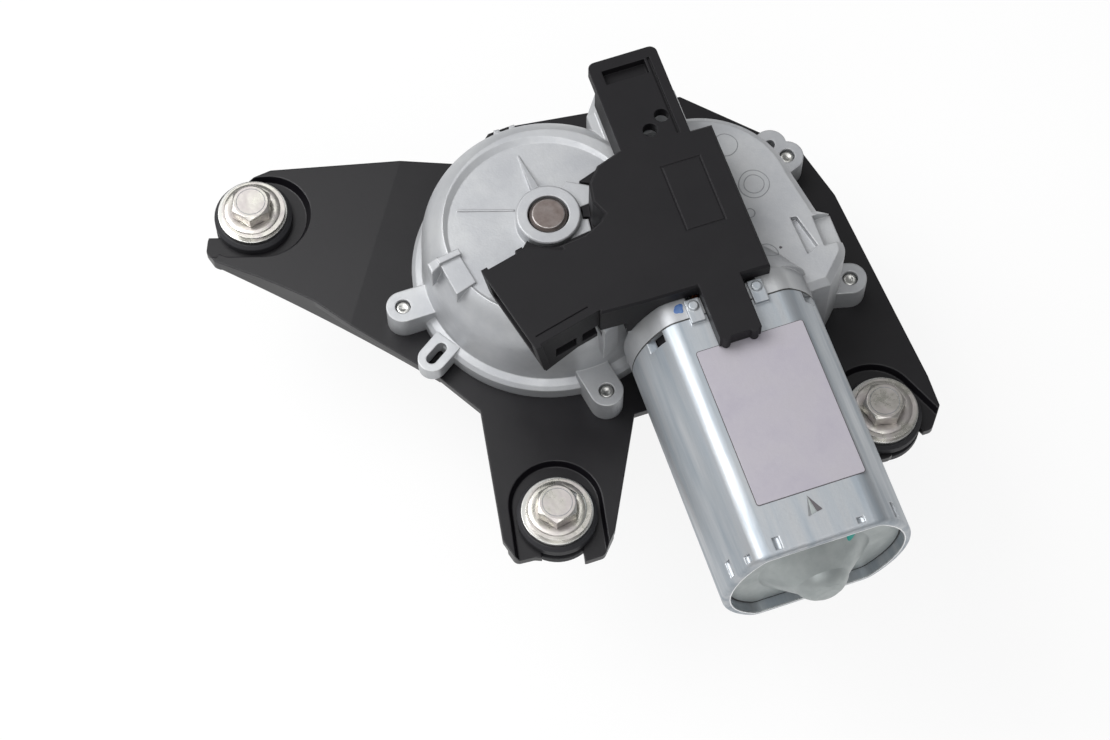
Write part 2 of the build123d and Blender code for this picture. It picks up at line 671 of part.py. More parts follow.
def shaft_seal():
    """The lip seal at the tower's mouth."""
    low = TOWER_MOUTH
    points = [(SHAFT_R + RUN, low + 1.6), (SHAFT_R + 0.5, low), (BUSH_R - SEAT, low),
              (BUSH_R - SEAT, low + 3.0), (SHAFT_R + 0.5, low + 3.0)]
    return turned(points)


def circlip():
    low = TOWER_MOUTH - 1.5
    clip = ring(SHAFT_R + 1.6, SHAFT_R - 0.6, low, low + CIRCLIP_T)
    return clip - Pos(SHAFT_R, 0, low) * Box(6, 3.0, 4)


def thrust_washer(z0, thickness):
    return ring(BUSH_R + 0.8, SHAFT_R + SLIP, z0, z0 + thickness)


# Worm wheel
def wheel_section(z, turn):
    step = 360 / WHEEL_TEETH
    rows = ((WHEEL_ROOT_R, WHEEL_TOOTH + 2 * (WHEEL_PITCH_R - WHEEL_ROOT_R) * PRESSURE_TAN),
            (WHEEL_TIP_R, WHEEL_TOOTH - 2 * (WHEEL_TIP_R - WHEEL_PITCH_R) * PRESSURE_TAN))
    (root, root_w), (tip, tip_w) = rows
    points = []
    for tooth in range(WHEEL_TEETH):
        middle = tooth * step + turn
        for radius, width, side in ((root, root_w, -1), (tip, tip_w, -1), (tip, tip_w, 1),
                                    (root, root_w, 1)):
            points.append(polar(radius, middle + side * degrees(width / 2 / radius)))
    return Pos(0, 0, z) * Polygon(*points, align=None)


def worm_wheel():
    low = WORM_Z - WHEEL_FACE / 2
    high = WORM_Z + WHEEL_FACE / 2
    twist = degrees(WHEEL_FACE / 2 * LEAD_TAN / WHEEL_PITCH_R)
    wheel = loft([wheel_section(low, -twist), wheel_section(high, twist)], ruled=True)
    rim_r = WHEEL_ROOT_R - 3.0
    hub_r = SHAFT_R + 4.5
    web_t = 3.0
    wheel -= ring(rim_r, hub_r, low - 1, WORM_Z - web_t / 2)
    wheel -= ring(rim_r, hub_r, WORM_Z + web_t / 2, high + 1)
    wheel += ring(hub_r, SHAFT_R, TOWER_INNER_TOP + 1.3, low + 0.5)
    for turn in range(8):
        rib = block(hub_r - 0.5, rim_r + 0.5, -0.9, 0.9, low + 1, high - 1)
        wheel += Rot(0, 0, 45 * turn) * rib
    return wheel - disc(SHAFT_R + 0.01, 0, COVER_TOP)


# Armature
def worm_thread():
    start = -WORM_TURNS / 2 * WORM_PITCH
    path = Helix(WORM_PITCH, WORM_TURNS * WORM_PITCH, WORM_PITCH_R)
    root = WORM_ROOT_R - 0.3
    root_half = WORM_TOOTH / 2 + (WORM_PITCH_R - root) * PRESSURE_TAN
    tip_half = WORM_TOOTH / 2 - (WORM_TIP_R - WORM_PITCH_R) * PRESSURE_TAN
    section = Plane.XZ * Polygon((root, -root_half), (WORM_TIP_R, -tip_half),
                                 (WORM_TIP_R, tip_half), (root, root_half), align=None)
    thread = sweep(section, path=path, is_frenet=True)
    return Pos(MOTOR_X, start, WORM_Z) * (Rot(-90, 0, 0) * thread)


def armature_shaft():
    worm_half = (WORM_TURNS / 2 + 0.6) * WORM_PITCH
    front_y = TUNNEL_END_Y - END_WALL - THRUST_T - 0.3
    tail_y = CONE_TIP_Y + 4.5
    points = [(front_y, 0), (front_y, ARM_END_R - 0.5), (front_y - 0.5, ARM_END_R),
              (-worm_half, ARM_END_R), (-worm_half - 2, ARM_SHAFT_R),
              (-108.0, ARM_SHAFT_R), (-108.0, ARM_END_R), (tail_y, ARM_END_R), (tail_y, 0)]
    return spun(points) + worm_thread()


def armature_core():
    sector = 360 / CORE_SLOTS
    shape = Circle(CORE_R)
    for slot in range(CORE_SLOTS):
        mouth = Pos(CORE_R - 1, 0) * Rectangle(4, 1.6)
        pocket = Pos(CORE_R - 4.6, 0) * Circle(2.3)
        shape -= Rot(0, 0, slot * sector) * (mouth + pocket)
    shape -= Circle(ARM_SHAFT_R)
    return along(shape, CORE_FRONT_Y, CORE_LENGTH)


def armature_windings():
    """The copper coils: end turns at both ends and what shows in the slots."""
    sector = 360 / CORE_SLOTS
    inner = ARM_SHAFT_R + 1.2
    outer = CORE_R - 2.6
    front = along(Circle(outer - 1.0) - Circle(inner), CORE_FRONT_Y + 3.2, 3.2)
    back_y = CORE_FRONT_Y - CORE_LENGTH
    back = along(Circle(outer - 1.0) - Circle(inner), back_y, 5.0)
    coils = front + back
    for slot in range(CORE_SLOTS):
        bar = Rot(0, 0, slot * sector) * (Pos(CORE_R - 4.6, 0) * Circle(2.1))
        coils += along(bar, CORE_FRONT_Y + 2.0, CORE_LENGTH + 4.0)
    return coils


def commutator():
    drum = along(Circle(COMM_R) - Circle(ARM_SHAFT_R), COMM_Y + COMM_LENGTH, COMM_LENGTH)
    for bar in range(COMM_BARS):
        angle = (bar + 0.5) * 360 / COMM_BARS
        slit = Rot(0, 0, angle) * (Pos(COMM_R, 0) * Rectangle(1.0, 0.5))
        drum -= along(slit, COMM_Y + COMM_LENGTH + 1, COMM_LENGTH + 2)
    return drum


# Motor case
def motor_yoke():
    outer = double_d()
    inner = double_d(YOKE_T)
    tube = along(outer, MOUTH_Y, MOUTH_Y - YOKE_END_Y)
    rim = tube.faces().sort_by(Axis.Y)[0]
    tube = fillet(rim.edges(), 1.2)
    tube -= along(inner, MOUTH_Y + 1, MOUTH_Y - YOKE_END_Y + 2)
    for x in TAB_X:
        tube += staked_tab(x)
    for side, low in ((-1, 13.0), (1, 10.6)):
        x = MOTOR_X + side * (YOKE_R - 4)
        tube -= block(x - 6, x + 6, MOUTH_Y - 3.4, MOUTH_Y + 1, WORM_Z + low, WORM_Z + low + 5.0)
    for side, inset, length in CRIMPS:
        tube -= crimp(side * (YOKE_R - inset), length)
    return tube


def staked_tab(x):
    """A tab of the case that is bent over the housing and staked down."""
    top = WORM_Z + YOKE_FLAT
    tab = block(x - 1.9, x + 1.9, MOUTH_Y - 0.6, MOUTH_Y + 4.4, top + 0.1, top + 1.2)
    strap = block(x - 1.9, x + 1.9, MOUTH_Y - 2.0, MOUTH_Y - 0.1, top - 1.5, top + 1.2)
    stake = disc(1.5, top + 0.5, top + 1.8, x, MOUTH_Y + 2.4)
    return tab + strap + chamfer(stake.faces().sort_by(Axis.Z)[-1].edges(), 0.4)


def crimp(across, length):
    """A punched mark, across from the motor's axis, that presses the rim onto the end plate."""
    surface = WORM_Z + min(YOKE_FLAT, sqrt(YOKE_R ** 2 - across ** 2))
    start = YOKE_END_Y + 1.5
    mark = Plane(origin=(MOTOR_X + across, start + length, surface + 0.5), x_dir=(1, 0, 0),
                 z_dir=(0, -1, 0))
    return extrude(mark * Circle(1.1), amount=length)


def yoke_end_plate():
    face_y = YOKE_END_Y + END_RECESS
    inner = double_d(YOKE_T + SEAT)
    plate = along(inner, face_y + END_T, END_T)
    cone = [(face_y + END_T, 0), (face_y + END_T, CONE_R), (face_y, CONE_R),
            (CONE_TIP_Y + 2.2, CONE_TIP_R), (CONE_TIP_Y + 0.7, CONE_TIP_R - 0.8),
            (CONE_TIP_Y, CONE_TIP_R - 2.4), (CONE_TIP_Y, 0)]
    hollow = [(face_y + END_T + 1, 0), (face_y + END_T + 1, CONE_R - END_T),
              (face_y, CONE_R - END_T), (REAR_BUSH_Y - 4.0, REAR_BUSH_R + SEAT),
              (REAR_BUSH_Y - 5.2, REAR_BUSH_R + SEAT), (CONE_TIP_Y + 2.0, CONE_TIP_R - 2.0),
              (CONE_TIP_Y + 2.0, 0)]
    return plate + spun(cone) - spun(hollow)


def bearing_bush(y0, y1, outer, bore):
    return along(Circle(outer) - Circle(bore), max(y0, y1), abs(y1 - y0))


def rear_bearing():
    return bearing_bush(REAR_BUSH_Y - 5.2, REAR_BUSH_Y - 0.8, REAR_BUSH_R, ARM_END_R + RUN)


def bearing_retainer():
    """The sprung disc that holds the rear bearing in the cone."""
    return along(Circle(CONE_R - END_T - SEAT) - Circle(ARM_SHAFT_R + 1.0), REAR_BUSH_Y + 0.6, 0.8)


def magnet(side):
    outer = YOKE_R - YOKE_T - SEAT
    inner = CORE_R + AIR_GAP
    span = 44
    reach = 40
    wedge = Polygon((0, 0), (reach * cos(radians(span)), reach * sin(radians(span))),
                    (reach * 2, 0), (reach * cos(radians(span)), -reach * sin(radians(span))),
                    align=None)
    shape = (Circle(outer) - Circle(inner)) & wedge
    if side < 0:
        shape = Rot(0, 0, 180) * shape
    return along(shape, CORE_FRONT_Y + 1, CORE_LENGTH + 2)


# Brush gear
def brush_holder():
    plate = along(double_d(YOKE_T + SLIP), MOUTH_Y, HOLDER_T)
    plate -= rod(COMM_R + 2.0, MOUTH_Y + 1, MOUTH_Y - HOLDER_T - 1)
    back = HOLDER_BACK
    for side in (-1, 1):
        x0 = BRUSH_IN + 1.5
        x1 = back
        low, high = sorted((MOTOR_X + side * x0, MOTOR_X + side * x1))
        half_y = BRUSH_W / 2 + 1.2
        half_z = BRUSH_H / 2 + 1.2
        box = block(low, high, BRUSH_Y - half_y, MOUTH_Y - HOLDER_T + 0.5,
                    WORM_Z - half_z, WORM_Z + half_z)
        low, high = sorted((MOTOR_X + side * (x0 - 5), MOTOR_X + side * (x1 - HOLDER_END)))
        slot = block(low, high, BRUSH_Y - BRUSH_W / 2 - SEAT, BRUSH_Y + BRUSH_W / 2 + SEAT,
                     WORM_Z - BRUSH_H / 2 - SEAT, WORM_Z + BRUSH_H / 2 + SEAT)
        plate = plate + box - slot
    return plate


def brush(side):
    low, high = sorted((MOTOR_X + side * BRUSH_IN, MOTOR_X + side * (BRUSH_IN + BRUSH_LENGTH)))
    return block(low, high, BRUSH_Y - BRUSH_W / 2, BRUSH_Y + BRUSH_W / 2,
                 WORM_Z - BRUSH_H / 2, WORM_Z + BRUSH_H / 2)


def brush_spring(side):
    turns = 4
    length = BRUSH_SPRING_LENGTH
    path = Helix(length / turns, length, BRUSH_SPRING_R)
    section = Plane(origin=(BRUSH_SPRING_R, 0, 0), x_dir=(1, 0, 0), z_dir=(0, 1, 0)) * Circle(
        BRUSH_WIRE_R)
    coil = sweep(section, path=path, is_frenet=True)
    start = BRUSH_IN + BRUSH_LENGTH + BRUSH_WIRE_R + 0.02
    return Pos(MOTOR_X + side * start, BRUSH_Y, WORM_Z) * (Rot(0, side * 90, 0) * coil)


def motor_lead(side):
    """A stamped terminal from the brush holder up to the control board."""
    x = MOTOR_X + side * 5.0
    rise = block(x - 1.5, x + 1.5, -34.6, -33.8, WORM_Z + 10, BOARD_Z)
    run = block(x - 1.5, x + 1.5, MOUTH_Y + 0.0, -33.8, WORM_Z + 10, WORM_Z + 10.8)
    foot = block(x - 1.5, x + 1.5, MOUTH_Y, MOUTH_Y + 0.8, WORM_Z + 10, WORM_Z + 14)
    return rise + run + foot


# Worm bearings
def worm_front_bearing():
    return bearing_bush(-35.0, -28.0, WORM_BORE_R - SEAT, ARM_SHAFT_R + RUN)


def worm_end_bearing():
    return bearing_bush(21.0, 28.0, WORM_BORE_R - SEAT, ARM_END_R + RUN)


def thrust_pad():
    wall = TUNNEL_END_Y - END_WALL
    return rod(WORM_BORE_R - SEAT, wall - THRUST_T, wall)


# Electronics cover
def cover_body_outline():
    return [(14.7, 3.8), (21.8, 6.1), (47.0, 5.6), (47.0, -38.0), (14.0, -37.4), (1.4, -36.8),
            (-2.0, -15.1), (5.0, -14.4), (9.9, -12.1), (11.8, -10.2), (10.0, -6.0), (10.9, -0.7)]


def connector_frame():
    """The connector's mouth: x runs inwards along the connector, y across it."""
    turn = radians(CONN_ANGLE)
    return Plane(origin=(*CONN_PLACE, 0), x_dir=(cos(turn), sin(turn), 0), z_dir=(0, 0, 1))


def connector_shell():
    place = connector_frame().location
    half = CONN_WIDTH / 2
    body = prism([(0, -half), (28, -half), (28, 5.0), (20.7, 7.1), (14.0, half), (0, half)],
                 CONN_BASE, CONN_TOP)
    bead_shape = Polygon((0, CONN_TOP), (1.8, CONN_TOP), (1.8 + CONN_LEAN, CONN_BASE - 0.6),
                         (CONN_LEAN, CONN_BASE - 0.6), align=None)
    bead = extrude(Plane.XZ * bead_shape, amount=half + 0.7, both=True)
    lean = Polygon((-1, CONN_TOP), (0, CONN_TOP), (CONN_LEAN, CONN_BASE - 1), (-1, CONN_BASE - 1),
                   align=None)
    body -= extrude(Plane.XZ * lean, amount=CONN_WIDTH, both=True)
    skirt_shape = Polygon((2.6, CONN_BASE + 1), (2.6, CONN_BASE - 1.2), (3.4, CONN_BASE - 3.4),
                          (13.5, CONN_BASE + 0.2), (13.5, CONN_BASE + 1), align=None)
    skirt = Pos(0, -half + 2.4, 0) * extrude(Plane.XZ * skirt_shape, amount=2.4)
    bump = Pos(11.5, half, CONN_TOP - 2) * Box(2.0, 2.0, 3.4)
    return place * (body + bead + skirt + bump)


def connector_cavity():
    place = connector_frame().location
    low = CONN_BASE + COVER_T
    inside = CONN_WIDTH - 2 * COVER_T
    hollow = block(-1, CONN_DEPTH, -inside / 2, inside / 2, low, CONN_TOP - COVER_T)
    edge = -CONN_WIDTH / 2
    groove = block(1.9, 17.5, edge + 2.2, edge + 2.6, CONN_TOP - 0.4, CONN_TOP + 1)
    cuts = hollow + groove
    for x0, x1 in CONN_WINDOWS:
        cuts += block(x0, x1, edge - 1, edge + COVER_T - 0.4, CONN_BASE + 1.8, CONN_BASE + 6.2)
    return place * cuts


def cover_boss_plate():
    """The thin apron of the cover that wraps the shaft boss."""
    apron = prism([(-10.0, -7.4), (-6.9, -4.3), (8.2, 6.3), (18.6, 9.7), (22.0, 9.0),
                   (22.0, -20.0), (-8.0, -20.0)], COVER_BASE, COVER_BASE + 2.6)
    apron -= disc(BOSS_R + 0.5, DOME_TOP, COVER_TOP)
    return apron


def cover_arm():
    """The arm over the worm tunnel, with its cable-tie slot and two holes."""
    x0, x1 = ARM_X
    top = COVER_TOP
    flat = block(x0, x1, 0, ARM_END_Y, top - ARM_T, top)
    corners = [edge for edge in flat.edges().filter_by(Axis.Z) if edge.center().Y > 10]
    flat = fillet(corners, 2.0)
    skirts = block(x0, x0 + 2, 4, ARM_END_Y - 7, top - ARM_DEPTH, top - 1)
    skirts += block(x1 - 2, x1, 4, ARM_END_Y - 3, top - ARM_DEPTH, top - 1)
    groove = block(x1 - 3.4, x1 - 2.6, 6, ARM_END_Y - 3, top - 0.8, top + 1)
    slot = block(25.0, 36.9, 25.5, 29.8, top - ARM_T + 0.9, top + 1)
    holes = disc(1.95, top - 8, top + 1, 35.5, 12.3) + disc(1.95, top - 8, top + 1, 31.2, 9.1)
    return flat + skirts - groove - slot - holes


def cover_tongue():
    x0, x1 = TONGUE_X
    under = WORM_Z + YOKE_FLAT + 0.4
    tongue = block(x0, x1, TONGUE_END_Y, -30, under, COVER_TOP)
    feet = disc(1.2, under, COVER_TOP, x0 + 1.8, TONGUE_END_Y + 0.2)
    feet += disc(1.2, under, COVER_TOP, x1 - 1.8, TONGUE_END_Y + 0.2)
    return tongue + feet


def electronics_cover():
    outer = prism(cover_body_outline(), COVER_BASE, COVER_TOP)
    top_face = outer.faces().sort_by(Axis.Z)[-1]
    outer = chamfer(top_face.edges(), 0.6)
    hollow = block(15.5, 44.6, -35.0, 2.6, COVER_BASE - 1, COVER_TOP - COVER_T)
    hollow += block(8.5, 30.0, -35.0, -15.5, COVER_BASE - 1, COVER_TOP - COVER_T)
    cover = outer + connector_shell() + cover_boss_plate() + cover_arm() + cover_tongue()
    cover -= hollow
    cover -= disc(BOSS_R + SLIP, COVER_BASE - 1, COVER_TOP + 1)
    cover -= connector_cavity()
    for pin in connector_pins(gap=0.05):
        cover -= pin
    neck = Plane(origin=(MOTOR_X + 1, NECK_Y, PLATE_TOP + 15), x_dir=(1, 0, 0),
                 z_dir=(0, -1, 0)) * RectangleRounded(35, 29, 8.5)
    mouth = motor_plane(BLOCK_Y - 0.5) * RectangleRounded(2 * YOKE_R, 2 * YOKE_FLAT + 0.4, 11)
    cover -= loft([neck, mouth], ruled=True)
    cover -= along(double_d(-SLIP), BLOCK_Y + SLIP, 80)
    for opening in boss_pads(gap=0.35):
        cover -= opening
    cover -= block(1.0, 8.6, -39.0, -32.2, COVER_BASE - 1, DOME_TOP + 5.4)
    panel = block(30.0, 41.0, -22.0, -2.0, COVER_TOP - 0.25, COVER_TOP + 1)
    inner = block(30.5, 40.5, -21.5, -2.5, COVER_TOP - 2, COVER_TOP + 2)
    return cover - (panel - inner)


def control_board():
    main = block(16.0, 44.0, -25.0, 2.0, BOARD_Z, BOARD_Z + BOARD_T)
    lobe = block(9.6, 17.0, -30.6, -16.0, BOARD_Z, BOARD_Z + BOARD_T)
    return main + lobe


def board_components():
    top = BOARD_Z + BOARD_T
    relay = block(32.0, 43.0, -23.0, -10.5, top, top + 5.6)
    chip = block(19.0, 28.0, -12.0, -4.0, top, top + 1.6)
    switch_one = block(30.0, 36.0, -8.0, -1.0, top, top + 2.2)
    switch_two = block(37.5, 43.5, -8.0, -1.0, top, top + 2.2)
    can = disc(3.0, top, top + 5.6, 22.0, -19.0)
    return [relay, chip, switch_one, switch_two, can]


def connector_pins(gap=0.0):
    """Stamped pins from the mouth to the board, or with a gap the slots that hold them.

    Each pin jogs sideways inside the moulding, so that the tails meet the board closer together.
    """
    place = connector_frame().location
    half = PIN_W / 2 + gap
    low = BOARD_Z + 4 - gap
    pins = []
    for index in range(CONN_PINS):
        step = index - (CONN_PINS - 1) / 2
        front = step * PIN_PITCH
        tail = step * PIN_TAIL_PITCH + PIN_TAIL_SHIFT
        strip = [(4, front - half), (16, front - half), (21, tail - half), (PIN_TAIL_X, tail - half),
                 (PIN_TAIL_X, tail + half), (21, tail + half), (16, front + half), (4, front + half)]
        pin = prism(strip, low, low + PIN_T + 2 * gap)
        if not gap:
            pin += block(PIN_TAIL_X - PIN_T, PIN_TAIL_X, tail - half, tail + half,
                         BOARD_Z + BOARD_T, low + PIN_T)
        pins.append(place * pin)
    return pins


NODES = {}


def collect():
    NODES["gear_housing"] = gear_housing()
    NODES["housing_gasket"] = housing_gasket()
    NODES["housing_screws"] = housing_screws()
    NODES["mounting_bracket"] = mounting_bracket()
    NODES["bearing_tower"] = bearing_tower()
    NODES["tower_rivets"] = [tower_rivet(*place) for place in rivet_places()]
    NODES["upper_shaft_bush"] = shaft_bush(DOME_TOP - ROOF, BOSS_TOP - BOSS_LID - DOME_TOP + ROOF)
    NODES["lower_shaft_bushes"] = [shaft_bush(TOWER_MOUTH + 3.2, BUSH_LENGTH),
                                   shaft_bush(TOWER_INNER_TOP - BUSH_LENGTH, BUSH_LENGTH)]
    NODES["shaft_seal"] = shaft_seal()
    NODES["circlip"] = circlip()
    NODES["wheel_thrust_washer"] = thrust_washer(TOWER_INNER_TOP, 1.2)
    NODES["output_shaft"] = output_shaft()
    NODES["worm_wheel"] = worm_wheel()
    NODES["armature_shaft"] = armature_shaft()
    NODES["armature_core"] = armature_core()
    NODES["armature_windings"] = armature_windings()
    NODES["commutator"] = commutator()
    NODES["worm_front_bearing"] = worm_front_bearing()
    NODES["worm_end_bearing"] = worm_end_bearing()
    NODES["thrust_pad"] = thrust_pad()
    NODES["motor_yoke"] = motor_yoke()
    NODES["yoke_end_plate"] = yoke_end_plate()
    NODES["rear_bearing"] = rear_bearing()
    NODES["bearing_retainer"] = bearing_retainer()
    NODES["magnets"] = [magnet(-1), magnet(1)]
    NODES["brush_holder"] = brush_holder()
    NODES["left_brush"] = brush(-1)
    NODES["right_brush"] = brush(1)
    NODES["left_brush_spring"] = brush_spring(-1)
    NODES["right_brush_spring"] = brush_spring(1)
    NODES["motor_leads"] = [motor_lead(-1), motor_lead(1)]
    NODES["grommets"] = [grommet(x, y) for x, y, _ in MOUNTS]
    NODES["spacer_sleeves"] = [spacer_sleeve(x, y) for x, y, _ in MOUNTS]
    NODES["bolt_washers"] = [bolt_washer(x, y) for x, y, _ in MOUNTS]
    NODES["mounting_bolts"] = [mounting_bolt(x, y, turn)
                               for (x, y, _), turn in zip(MOUNTS, HEX_TURNS)]
    NODES["electronics_cover"] = electronics_cover()
    NODES["control_board"] = control_board()
    NODES["board_components"] = board_components()
    NODES["connector_pins"] = connector_pins()


collect()
os.makedirs("parts", exist_ok=True)
for name, shape in NODES.items():
    solid = Compound(children=shape) if isinstance(shape, list) else shape
    export_step(solid, f"parts/{name}.step")
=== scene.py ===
# %% [markdown]
# # A wiper gear motor in a plain studio
# A wiper motor is a handful of very different surfaces held close together: pressure-cast
# aluminium, zinc-plated steel, black dip paint, glass-filled plastic and rubber. The shapes come
# from the CAD model, so this lesson is about surfaces, light and the small things that CAD skips.

# %% Load the frame
import math
import random

import bmesh
import bpy
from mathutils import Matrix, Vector
from mathutils.bvhtree import BVHTree


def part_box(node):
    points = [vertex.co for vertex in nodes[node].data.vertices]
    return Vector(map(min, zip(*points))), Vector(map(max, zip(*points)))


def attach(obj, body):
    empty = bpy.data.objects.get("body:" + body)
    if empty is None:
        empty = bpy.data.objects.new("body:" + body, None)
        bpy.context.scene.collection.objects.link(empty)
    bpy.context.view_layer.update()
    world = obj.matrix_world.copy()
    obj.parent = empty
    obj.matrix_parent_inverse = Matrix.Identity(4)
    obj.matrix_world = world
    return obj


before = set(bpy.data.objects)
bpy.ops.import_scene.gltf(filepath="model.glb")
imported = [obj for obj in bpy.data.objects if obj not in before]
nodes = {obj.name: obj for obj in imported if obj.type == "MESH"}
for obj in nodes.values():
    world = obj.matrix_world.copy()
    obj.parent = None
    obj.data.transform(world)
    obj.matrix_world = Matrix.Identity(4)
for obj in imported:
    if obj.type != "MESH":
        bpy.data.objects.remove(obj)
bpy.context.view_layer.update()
MM = 0.001
STATIC = "gear_motor"
print(len(nodes), "nodes loaded")

# %% [markdown]
# ## The camera
# The photograph was taken from a stepladder's height: about 65 degrees above the horizon and a
# little to the left of the motor's own axis. A long lens keeps the parallel edges nearly parallel.
# Aiming the camera at one named point, instead of turning it by hand, keeps its horizon level.

# %% Camera
TARGET = Vector((-6.1, -23.1, 13.0)) * MM
DISTANCE = 0.830
ELEVATION = math.radians(65.2)
TURN = math.radians(19.0)
LENS = 99.05
SENSOR_WIDTH = 36.0
NEAREST = 0.01


def from_target(turn, elevation, distance):
    """A point seen from the target, with turn measured from straight ahead towards the left."""
    flat = math.cos(elevation) * distance
    return TARGET + Vector((-math.sin(turn) * flat, -math.cos(turn) * flat,
                            math.sin(elevation) * distance))


def aim(obj, point):
    obj.rotation_euler = (point - obj.location).to_track_quat("-Z", "Y").to_euler()


camera = bpy.data.objects.new("camera", bpy.data.cameras.new("camera"))
bpy.context.collection.objects.link(camera)
camera.data.lens = LENS
camera.data.sensor_width = SENSOR_WIDTH
camera.data.clip_start = NEAREST
camera.location = from_target(TURN, ELEVATION, DISTANCE)
aim(camera, TARGET)
bpy.context.scene.camera = camera
print("camera at", [round(v, 3) for v in camera.location])

# %% [markdown]
# ## Floor and light
# The background is plain white and the object must not be lit by that whiteness, so the floor
# glows white only for rays that come from the camera or from a mirror. For all other rays it is
# an ordinary pale floor that still catches a soft shadow. A broad lamp behind and to the left does
# most of the work and draws the bright band along the shoulder of the motor case. A second one
# behind the object is what its flat metal mirrors towards the camera, a large one overhead softens
# the shadows, and a weak one in front keeps the near walls from going black.

# %% Floor
FLOOR_Z = -34.0 * MM
FLOOR_SIZE = 6.0
PAPER_GREY = 0.86
GLOW_SHARE = 0.88


def mesh_object(name, mesh):
    obj = bpy.data.objects.new(name, mesh)
    bpy.context.collection.objects.link(obj)
    return obj


def node_material(name):
    material = bpy.data.materials.new(name)
    material.use_nodes = True
    tree = material.node_tree
    tree.nodes.clear()
    output = tree.nodes.new("ShaderNodeOutputMaterial")
    return material, tree, output


def floor_material():
    material, tree, output = node_material("floor_paper")
    new, link = tree.nodes.new, tree.links.new
    paper = new("ShaderNodeBsdfDiffuse")
    paper.inputs["Color"].default_value = (PAPER_GREY, PAPER_GREY, PAPER_GREY, 1)
    glow = new("ShaderNodeEmission")
    glow.inputs["Strength"].default_value = 1.0
    mix = new("ShaderNodeMixShader")
    path = new("ShaderNodeLightPath")
    either = new("ShaderNodeMath")
    either.operation = "MAXIMUM"
    share = new("ShaderNodeMath")
    share.operation = "MULTIPLY"
    share.inputs[1].default_value = GLOW_SHARE
    link(path.outputs["Is Camera Ray"], either.inputs[0])
    link(path.outputs["Is Glossy Ray"], either.inputs[1])
    link(either.outputs[0], share.inputs[0])
    link(share.outputs[0], mix.inputs[0])
    link(paper.outputs[0], mix.inputs[1])
    link(glow.outputs[0], mix.inputs[2])
    link(mix.outputs[0], output.inputs["Surface"])
    return material


floor_mesh = bpy.data.meshes.new("floor")
half = FLOOR_SIZE / 2
floor_mesh.from_pydata([(-half, -half, FLOOR_Z), (half, -half, FLOOR_Z), (half, half, FLOOR_Z),
                        (-half, half, FLOOR_Z)], [], [(0, 1, 2, 3)])
floor = mesh_object("floor", floor_mesh)
floor.data.materials.append(floor_material())
print("floor", FLOOR_SIZE, "m wide")

# %% Lamps and world
WORLD_STRENGTH = 0.27


def area_lamp(name, turn, elevation, distance, size, power):
    lamp = bpy.data.lights.new(name, "AREA")
    lamp.shape = "DISK"
    lamp.size = size
    lamp.energy = power
    obj = bpy.data.objects.new(name, lamp)
    bpy.context.collection.objects.link(obj)
    obj.location = from_target(math.radians(turn), math.radians(elevation), distance)
    aim(obj, TARGET)


area_lamp("key", turn=122, elevation=52, distance=0.9, size=0.62, power=6.2)
area_lamp("sheen", turn=160, elevation=60, distance=0.9, size=0.55, power=1.1)
area_lamp("top", turn=30, elevation=84, distance=1.0, size=0.80, power=1.9)
area_lamp("front", turn=22, elevation=50, distance=1.0, size=0.60, power=2.6)

world = bpy.data.worlds.new("studio")
bpy.context.scene.world = world
world.use_nodes = True
background = world.node_tree.nodes["Background"]
background.inputs["Color"].default_value = (1, 1, 1, 1)
background.inputs["Strength"].default_value = WORLD_STRENGTH
bpy.context.scene.view_settings.view_transform = "Standard"

# %% [markdown]
# ## Shared effects
# Three effects return on nearly every surface, so each is a node group that the materials place
# with their own values. **Soft edges** makes each sharp CAD edge catch light as a real radius
# does, and its mask says where fingers and tools polish or rub the finish. **Grain** is the fine
# unevenness of a cast, moulded or painted skin. **Stains** are the large faint clouds that
# handling, oil and plating leave behind.

# %% Node group helpers


def new_group(name, inputs, outputs):
    group = bpy.data.node_groups.new(name, "ShaderNodeTree")
    for label, kind, value in inputs:
        socket = group.interface.new_socket(label, in_out="INPUT", socket_type=kind)
        socket.default_value = value
    for label, kind in outputs:
        group.interface.new_socket(label, in_out="OUTPUT", socket_type=kind)
    start = group.nodes.new("NodeGroupInput")
    end = group.nodes.new("NodeGroupOutput")
    return group, start, end


def math_node(tree, operation, first, second=None, clamp=False):
    """A Math node whose two values are sockets or plain numbers; returns its result socket."""
    node = tree.nodes.new("ShaderNodeMath")
    node.operation = operation
    node.use_clamp = clamp
    for place, value in enumerate((first, second)):
        if value is None:
            continue
        if isinstance(value, (int, float)):
            node.inputs[place].default_value = value
        else:
            tree.links.new(value, node.inputs[place])
    return node.outputs[0]


def noise_node(tree, coordinates, scale, detail=2.0, rough=0.5):
    """Noise over the object's own coordinates; scale is a number or a socket, per metre."""
    node = tree.nodes.new("ShaderNodeTexNoise")
    tree.links.new(coordinates, node.inputs["Vector"])
    if isinstance(scale, (int, float)):
        node.inputs["Scale"].default_value = scale
    else:
        tree.links.new(scale, node.inputs["Scale"])
    node.inputs["Detail"].default_value = detail
    node.inputs["Roughness"].default_value = rough
    return node.outputs["Fac"]


def object_coordinates(tree):
    return tree.nodes.new("ShaderNodeTexCoord").outputs["Object"]


# %% Soft edges group
FLOAT, VECTOR = "NodeSocketFloat", "NodeSocketVector"
BEVEL_SAMPLES = 6
EDGE_GAIN = 7.0
WEAR_GAIN = 1.6

